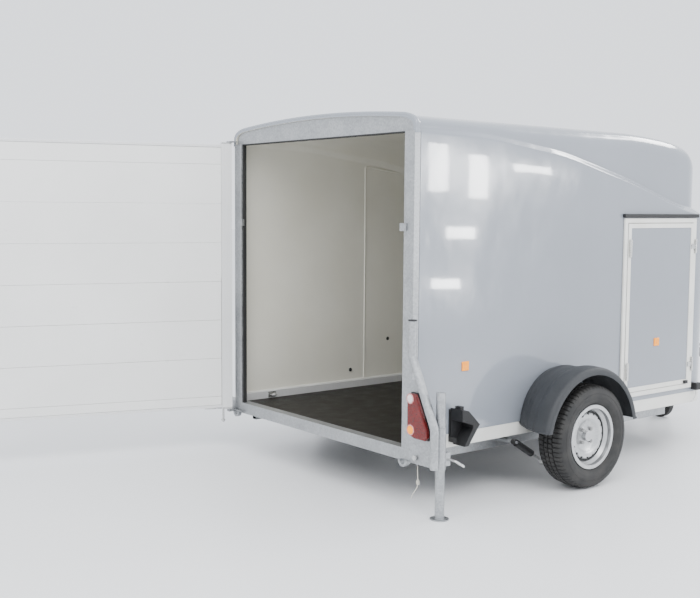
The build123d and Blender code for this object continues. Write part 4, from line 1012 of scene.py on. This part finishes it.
FINISHES = {
    "body": {
        "lower_edge_profile": ("cream", 0.004, "cream_profile"),
        "floor_panel": ("board", 0.0, "floor_board"),
        "floor_edge_fittings": (floor_edge_part, 0.0012, "black_plastic"),
        "side_reflectors": ("amber_lens", 0.002, "amber_lens"),
        "opening_seal": ("seal", 0.002, "black_rubber"),
        "rain_gutter": ("black", 0.004, "black_rubber"),
        "side_door_frame": ("cream", 0.004, "cream_profile"),
        "side_fittings": (side_fitting_part, 0.0015, "black_plastic"),
    },
    "rear_frame": {
        "rear_frame": ("galvanised", 0.0012, "galvanised"),
        "rear_beam": ("galvanised", 0.0025, "galvanised"),
        "lamp_guards": (guard_part, 0.001, "galvanised"),
        "leg_sleeves": ("galvanised", 0.001, "galvanised"),
        "rear_brackets": ("galvanised", 0.001, "zinc"),
        "rear_leg_left": ("galvanised", 0.0015, "galvanised"),
        "rear_leg_right": ("galvanised", 0.0015, "galvanised"),
        "leg_clamp_left": ("zinc", 0.001, "zinc"),
        "leg_clamp_right": ("zinc", 0.001, "zinc"),
        "ramp_pin": ("zinc", 0.001, "zinc"),
        "wheel_chock_left": ("black", 0.003, "black_plastic"),
        "wheel_chock_right": ("black", 0.003, "black_plastic"),
    },
    "rear_door": {
        "door_frame": ("stile", 0.0025, "door_frame_white"),
        "door_fittings": ("zinc", 0.001, "zinc"),
        "door_latch_lever_left": ("zinc", 0.0015, "zinc"),
        "door_latch_lever_right": ("zinc", 0.0015, "zinc"),
    },
    "side_door": {
        "side_door_panel": ("gel_coat", 0.003, "grey_polyester"),
        "side_door_border": ("cream", 0.0015, "cream_profile"),
        "side_door_fittings": (side_door_part, 0.0012, "black_plastic"),
        "side_latch_top": ("zinc", 0.0015, "zinc"),
        "side_latch_bottom": ("zinc", 0.0015, "zinc"),
    },
    "running_gear": {
        "chassis_frame": ("galvanised", 0.003, "galvanised"),
        "drawbar": ("galvanised", 0.001, "galvanised"),
        "drawbar_fittings": (drawbar_part, 0.002, "cast_steel"),
        "suspension_mounts": ("galvanised", 0.001, "galvanised"),
        "swing_arm_left": ("galvanised", 0.002, "galvanised"),
        "swing_arm_right": ("galvanised", 0.002, "galvanised"),
        "damper_tube_left": ("painted_black", 0.001, "black_paint"),
        "damper_tube_right": ("painted_black", 0.001, "black_paint"),
        "damper_rod_left": ("zinc", 0.001, "chrome_rod"),
        "damper_rod_right": ("zinc", 0.001, "chrome_rod"),
        "wheel_rim_left": ("silver", 0.001, "silver_paint"),
        "wheel_rim_right": ("silver", 0.001, "silver_paint"),
        "wheel_hub_left": (hub_part, 0.002, "cast_steel"),
        "wheel_hub_right": (hub_part, 0.002, "cast_steel"),
        "jockey_tube": ("galvanised", 0.0008, "galvanised"),
        "jockey_crank": ("zinc", 0.0012, "zinc"),
        "jockey_fork": ("galvanised", 0.001, "galvanised"),
        "jockey_wheel": (jockey_part, 0.004, "black_rubber"),
        "jockey_clamp_handle": ("zinc", 0.001, "zinc"),
        "coupling": ("casting", 0.002, "cast_steel"),
        "coupling_handle": ("casting", 0.0015, "cast_steel"),
        "handbrake_lever": ("zinc", 0.0015, "zinc"),
    },
}


def dress(group):
    for node, (material, edge, slot_name) in FINISHES[group].items():
        choose = material if callable(material) else (lambda low, high, same=material: same)
        softened(node, edge, choose)


# ---- Lamps and door planks -------------------------------------------------------------------------
LAMP_FACE = -0.017
LAMP_FRONT = -0.041
DOOR_OPEN = math.radians(-106.7)
DOOR_AXIS = (-0.030, 0.862)
PLANK_SEAMS = (1.935, 1.828, 1.583, 1.338, 1.093, 0.848, 0.603, 0.358, 0.302)
PLANK_DEPTH = (-0.044, -0.014)
PLANK_ENDS = (-0.782, 0.802)


def bevelled(name, body, material, vertices, faces, edge, segments=3, sharp=30.0):
    obj = piece(name, body, [material], vertices, faces, sharp=sharp)
    tidy_mesh(obj.data)
    bevel = obj.modifiers.new("edges", "BEVEL")
    bevel.width = edge
    bevel.segments = segments
    bevel.limit_method = "ANGLE"
    bevel.angle_limit = math.radians(sharp)
    bevel.harden_normals = True
    apply_modifiers(obj)
    return obj


def prism(name, body, material, outline, rear, front, edge):
    """Plate standing across the trailer: an outline in y and z between two x values."""
    count = len(outline)
    vertices = [at(x, y, z) for x in (rear, front) for y, z in outline]
    faces = [tuple(range(count)), tuple(reversed(range(count, 2 * count)))]
    faces += [(i, i + count, (i + 1) % count + count, (i + 1) % count) for i in range(count)]
    return bevelled(name, body, material, vertices, faces, edge)


def make_lamps():
    """Three-part lamps: a dark red prism block, a round clear lens with a pink ring, an amber lens."""
    body = BODY_OF["rear_lamps"]
    first = True
    for side, name, inner in ((-1, "right", 0.856), (1, "left", 0.896)):
        outer = 1.020
        lens_outline = [
            (inner + 0.002, 0.412), (inner + 0.060, 0.394), (outer - 0.020, 0.394), (outer - 0.002, 0.412),
            (outer - 0.008, 0.450), (inner + 0.080, 0.600), (inner + 0.062, 0.628), (inner + 0.010, 0.628),
            (inner + 0.002, 0.610),
        ]
        outline = [(side * y, z) for y, z in lens_outline]
        housing = prism(f"lamp_housing_{name}", body, "black", outline, LAMP_FACE, -0.007, 0.002)
        centre_y = sum(y for y, _ in outline) / len(outline)
        centre_z = sum(z for _, z in outline) / len(outline)
        inset = [(centre_y + (y - centre_y) * 0.96, centre_z + (z - centre_z) * 0.975) for y, z in outline]
        red = prism(f"lamp_lens_{name}", body, "red_lens", inset, LAMP_FRONT, LAMP_FACE, 0.007)
        if first:
            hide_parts("rear_lamps")
            first = False
        for label, dy, z, radius, material in (
            ("clear", 0.030, 0.598, 0.0215, "white_lens"),
            ("amber", 0.034, 0.438, 0.0225, "amber_lens"),
        ):
            centre = at(LAMP_FRONT, side * (inner + dy), z)
            dome = [(-0.012, 0.0001), (-0.012, radius)]
            dome += [(0.001, radius), (0.003, radius * 0.93), (0.0045, radius * 0.7), (0.0055, radius * 0.35)]
            dome += [(0.006, 0.0001)]
            vertices, faces = lathe(dome, centre, 40, along=Vector((-1, 0, 0)), start=Vector((0, 1, 0)))
            obj = piece(f"lamp_{label}_{name}", body, [material], vertices, faces, sharp=50.0)
            tidy_mesh(obj.data)
            ring = [(-0.002, radius), (0.0025, radius), (0.004, radius + 0.0025), (0.002, radius + 0.005)]
            ring += [(-0.002, radius + 0.005)]
            vertices, faces = lathe(ring, centre, 40, along=Vector((-1, 0, 0)), start=Vector((0, 1, 0)))
            obj = piece(f"lamp_ring_{label}_{name}", body, ["pink_lens"], vertices, faces, sharp=50.0)
            tidy_mesh(obj.data)


def door_point(x, y, z):
    """A place on the closed rear door, where the door now stands."""
    dx, dy = x - DOOR_AXIS[0], y - DOOR_AXIS[1]
    c, s = math.cos(DOOR_OPEN), math.sin(DOOR_OPEN)
    return at(DOOR_AXIS[0] + dx * c - dy * s, DOOR_AXIS[1] + dx * s + dy * c, z)


def make_planks():
    """Door planks with rolled edges that leave a shallow groove at each seam."""
    sides = [(0, 1, 3, 2), (4, 6, 7, 5), (0, 4, 5, 1), (2, 3, 7, 6), (0, 2, 6, 4), (1, 5, 7, 3)]
    for i, (top, low) in enumerate(zip(PLANK_SEAMS, PLANK_SEAMS[1:])):
        vertices = [
            door_point(x, y, z) for x in PLANK_DEPTH for y in PLANK_ENDS for z in (low + 0.0006, top - 0.0006)
        ]
        obj = bevelled(f"door_plank_{i + 1}", BODY_OF["door_planks"], "plank", vertices, sides, 0.0026)
        if i == 0:
            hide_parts("door_planks")


# ---- Stage ---------------------------------------------------------------------------------------
CAMERA_PLACE = (-3.506, -4.783, 1.560)
CAMERA_YAW = math.radians(51.76)
CAMERA_PITCH = math.radians(-5.0)
CAMERA_ROLL = math.radians(0.405)
CAMERA_LENS = 53.34
SOFTBOXES = (
    ((3.85, -4.80, 2.05), 0.20, 0.62, 26.0),
    ((4.43, -4.80, 1.95), 0.20, 0.55, 24.0),
    ((5.29, -4.80, 2.06), 0.42, 0.16, 14.0),
    ((4.18, -4.80, 1.31), 0.30, 0.12, 10.0),
    ((3.97, -4.80, 0.78), 0.30, 0.10, 9.0),
)
SOFTBOX_TARGET = (0.8, -0.854, 1.5)


def make_camera():
    camera = bpy.data.cameras.new("camera")
    camera.lens = CAMERA_LENS
    camera.clip_end = 200.0
    holder = bpy.data.objects.new("camera", camera)
    bpy.context.scene.collection.objects.link(holder)
    flat = math.cos(CAMERA_PITCH)
    ahead = Vector((math.cos(CAMERA_YAW) * flat, math.sin(CAMERA_YAW) * flat, math.sin(CAMERA_PITCH)))
    level = Vector((math.sin(CAMERA_YAW), -math.cos(CAMERA_YAW), 0))
    up = level.cross(ahead)
    right = level * math.cos(CAMERA_ROLL) + up * math.sin(CAMERA_ROLL)
    up = right.cross(ahead)
    turn = Matrix((right, up, -ahead)).transposed().to_4x4()
    holder.matrix_world = Matrix.Translation(at(*CAMERA_PLACE)) @ turn
    bpy.context.scene.camera = holder


def make_light(name, place, target, width, height, power, shade=(1.0, 1.0, 1.0)):
    light = bpy.data.lights.new(name, "AREA")
    light.shape = "RECTANGLE"
    light.size, light.size_y = width, height
    light.energy = power
    light.color = shade
    holder = bpy.data.objects.new(name, light)
    bpy.context.scene.collection.objects.link(holder)
    holder.location = place
    holder.rotation_euler = (target - place).to_track_quat("-Z", "Y").to_euler()


def make_floor():
    look = bpy.context.scene.trailer_stage
    reach = look.floor_reach
    vertices = [(x, y, GROUND) for x, y in ((-reach, -reach), (reach, -reach), (reach, reach), (-reach, reach))]
    mesh = bpy.data.meshes.new("floor")
    mesh.from_pydata(vertices, [], [(0, 1, 2, 3)])
    floor = bpy.data.objects.new("floor", mesh)
    bpy.context.scene.collection.objects.link(floor)
    shader = Shader("studio_floor", roughness=0.38)
    cloud = shader.noise(0.35, 3.0)
    pale = tuple(look.floor_colour)
    shader.wire("Base Color", shader.blend(cloud.clear(0.3, 0.7), tuple(0.97 * c for c in pale), pale))
    shader.wire("Roughness", shader.noise(1.4, 4.0) * 0.15 + 0.32)
    mesh.materials.append(shader.material)
    world = bpy.data.worlds.new("studio")
    world.use_nodes = True
    world.node_tree.nodes["Background"].inputs["Color"].default_value = (0.91, 0.945, 1.0, 1.0)
    world.node_tree.nodes["Background"].inputs["Strength"].default_value = look.ambient
    bpy.context.scene.world = world


# ---- Add-on --------------------------------------------------------------------------------------
class TrailerBody(bpy.types.PropertyGroup):
    paint: bpy.props.FloatVectorProperty(
        name="Body Colour", description="Colour of the outer gel coat", subtype="COLOR", size=3,
        default=(0.27, 0.292, 0.328), min=0.0, max=1.0,
    )
    waviness: bpy.props.FloatProperty(
        name="Waviness", description="Height of the slow waves in the polyester", default=0.010,
        min=0.0, max=0.02, unit="LENGTH",
    )


class TrailerStage(bpy.types.PropertyGroup):
    floor_reach: bpy.props.FloatProperty(
        name="Floor Reach", description="Distance from the middle to the floor's edge", default=60.0,
        min=5.0, unit="LENGTH",
    )
    floor_colour: bpy.props.FloatVectorProperty(
        name="Floor Colour", description="Colour of the studio floor", subtype="COLOR", size=3,
        default=(0.86, 0.865, 0.87), min=0.0, max=1.0,
    )
    ambient: bpy.props.FloatProperty(
        name="Ambient Light", description="Strength of the light from all round", default=1.9, min=0.0,
    )
    key_power: bpy.props.FloatProperty(
        name="Key Light", description="Power of the large overhead softbox", default=280.0, min=0.0,
        unit="POWER",
    )


class MakeBody(bpy.types.Operator):
    """Build the polyester body with its inner ribs, roof bead, edge profiles and side trim"""

    bl_idname = "trailer.make_body"
    bl_label = "Body"

    def execute(self, context):
        make_shell()
        make_roof_bead()
        make_inner_ribs()
        dress("body")
        return {"FINISHED"}


class MakeRearFrame(bpy.types.Operator):
    """Build the galvanised rear frame with lamps, guards, legs, chocks and lanyard"""

    bl_idname = "trailer.make_rear_frame"
    bl_label = "Rear Frame"

    def execute(self, context):
        make_lanyard()
        make_lamps()
        dress("rear_frame")
        return {"FINISHED"}


class MakeRearDoor(bpy.types.Operator):
    """Build the planked rear door"""

    bl_idname = "trailer.make_rear_door"
    bl_label = "Rear Door"

    def execute(self, context):
        make_planks()
        dress("rear_door")
        return {"FINISHED"}


class MakeSideDoor(bpy.types.Operator):
    """Build the side door with its border, latches and reflector"""

    bl_idname = "trailer.make_side_door"
    bl_label = "Side Door"

    def execute(self, context):
        dress("side_door")
        return {"FINISHED"}


class MakeWheels(bpy.types.Operator):
    """Build the tyres and fenders on both sides"""

    bl_idname = "trailer.make_wheels"
    bl_label = "Wheels and Fenders"

    def execute(self, context):
        fenders = [make_fender(side) for side in ("left", "right")]
        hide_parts("fenders")
        for side in ("left", "right"):
            make_tyre(side)
            # A black ring of painted shade behind each wheel disc.
            make_painted_shade_ring(side)
        return {"FINISHED"}


class MakeRunningGear(bpy.types.Operator):
    """Finish the chassis, suspension, drawbar, jockey wheel and coupling"""

    bl_idname = "trailer.make_running_gear"
    bl_label = "Running Gear"

    def execute(self, context):
        dress("running_gear")
        return {"FINISHED"}


class MakeStage(bpy.types.Operator):
    """Build the floor, the lights and the camera"""

    bl_idname = "trailer.make_stage"
    bl_label = "Stage"

    def execute(self, context):
        look = context.scene.trailer_stage
        make_floor()
        make_camera()
        make_light("key", at(-1.5, -4.5, 6.0), at(0.8, -0.5, 0.8), 4.5, 3.0, look.key_power)
        make_light("door_fill", at(-4.5, -2.0, 4.5), at(0.5, 0.2, 1.2), 2.5, 2.5, 120.0)
        make_light("top_front", at(9.5, -0.9, 6.6), at(1.8, -0.8, 1.8), 4.0, 1.6, 380.0)
        for i, (place, width, height, power) in enumerate(SOFTBOXES):
            make_light(f"softbox_{i + 1}", at(*place), at(*SOFTBOX_TARGET), width, height, power)
        return {"FINISHED"}


STEPS = (MakeRearFrame, MakeBody, MakeRearDoor, MakeSideDoor, MakeWheels, MakeRunningGear, MakeStage)


class TrailerPanel(bpy.types.Panel):
    """Sidebar panel with the trailer's sizes, colours and pieces"""

    bl_idname = "VIEW3D_PT_trailer"
    bl_label = "Box Trailer"
    bl_space_type = "VIEW_3D"
    bl_region_type = "UI"
    bl_category = "Trailer"

    def draw(self, context):
        for group in (context.scene.trailer_body, context.scene.trailer_stage):
            for name in type(group).__annotations__:
                self.layout.prop(group, name)
        for step in STEPS:
            self.layout.operator(step.bl_idname)


CLASSES = (TrailerBody, TrailerStage, *STEPS, TrailerPanel)


def register():
    for item in CLASSES:
        bpy.utils.register_class(item)
    bpy.types.Scene.trailer_body = bpy.props.PointerProperty(type=TrailerBody)
    bpy.types.Scene.trailer_stage = bpy.props.PointerProperty(type=TrailerStage)


def unregister():
    del bpy.types.Scene.trailer_stage
    del bpy.types.Scene.trailer_body
    for item in reversed(CLASSES):
        bpy.utils.unregister_class(item)


def main():
    register()
    for step in STEPS:
        getattr(bpy.ops.trailer, step.bl_idname.split(".")[1])()


if __name__ == "__main__":
    main()
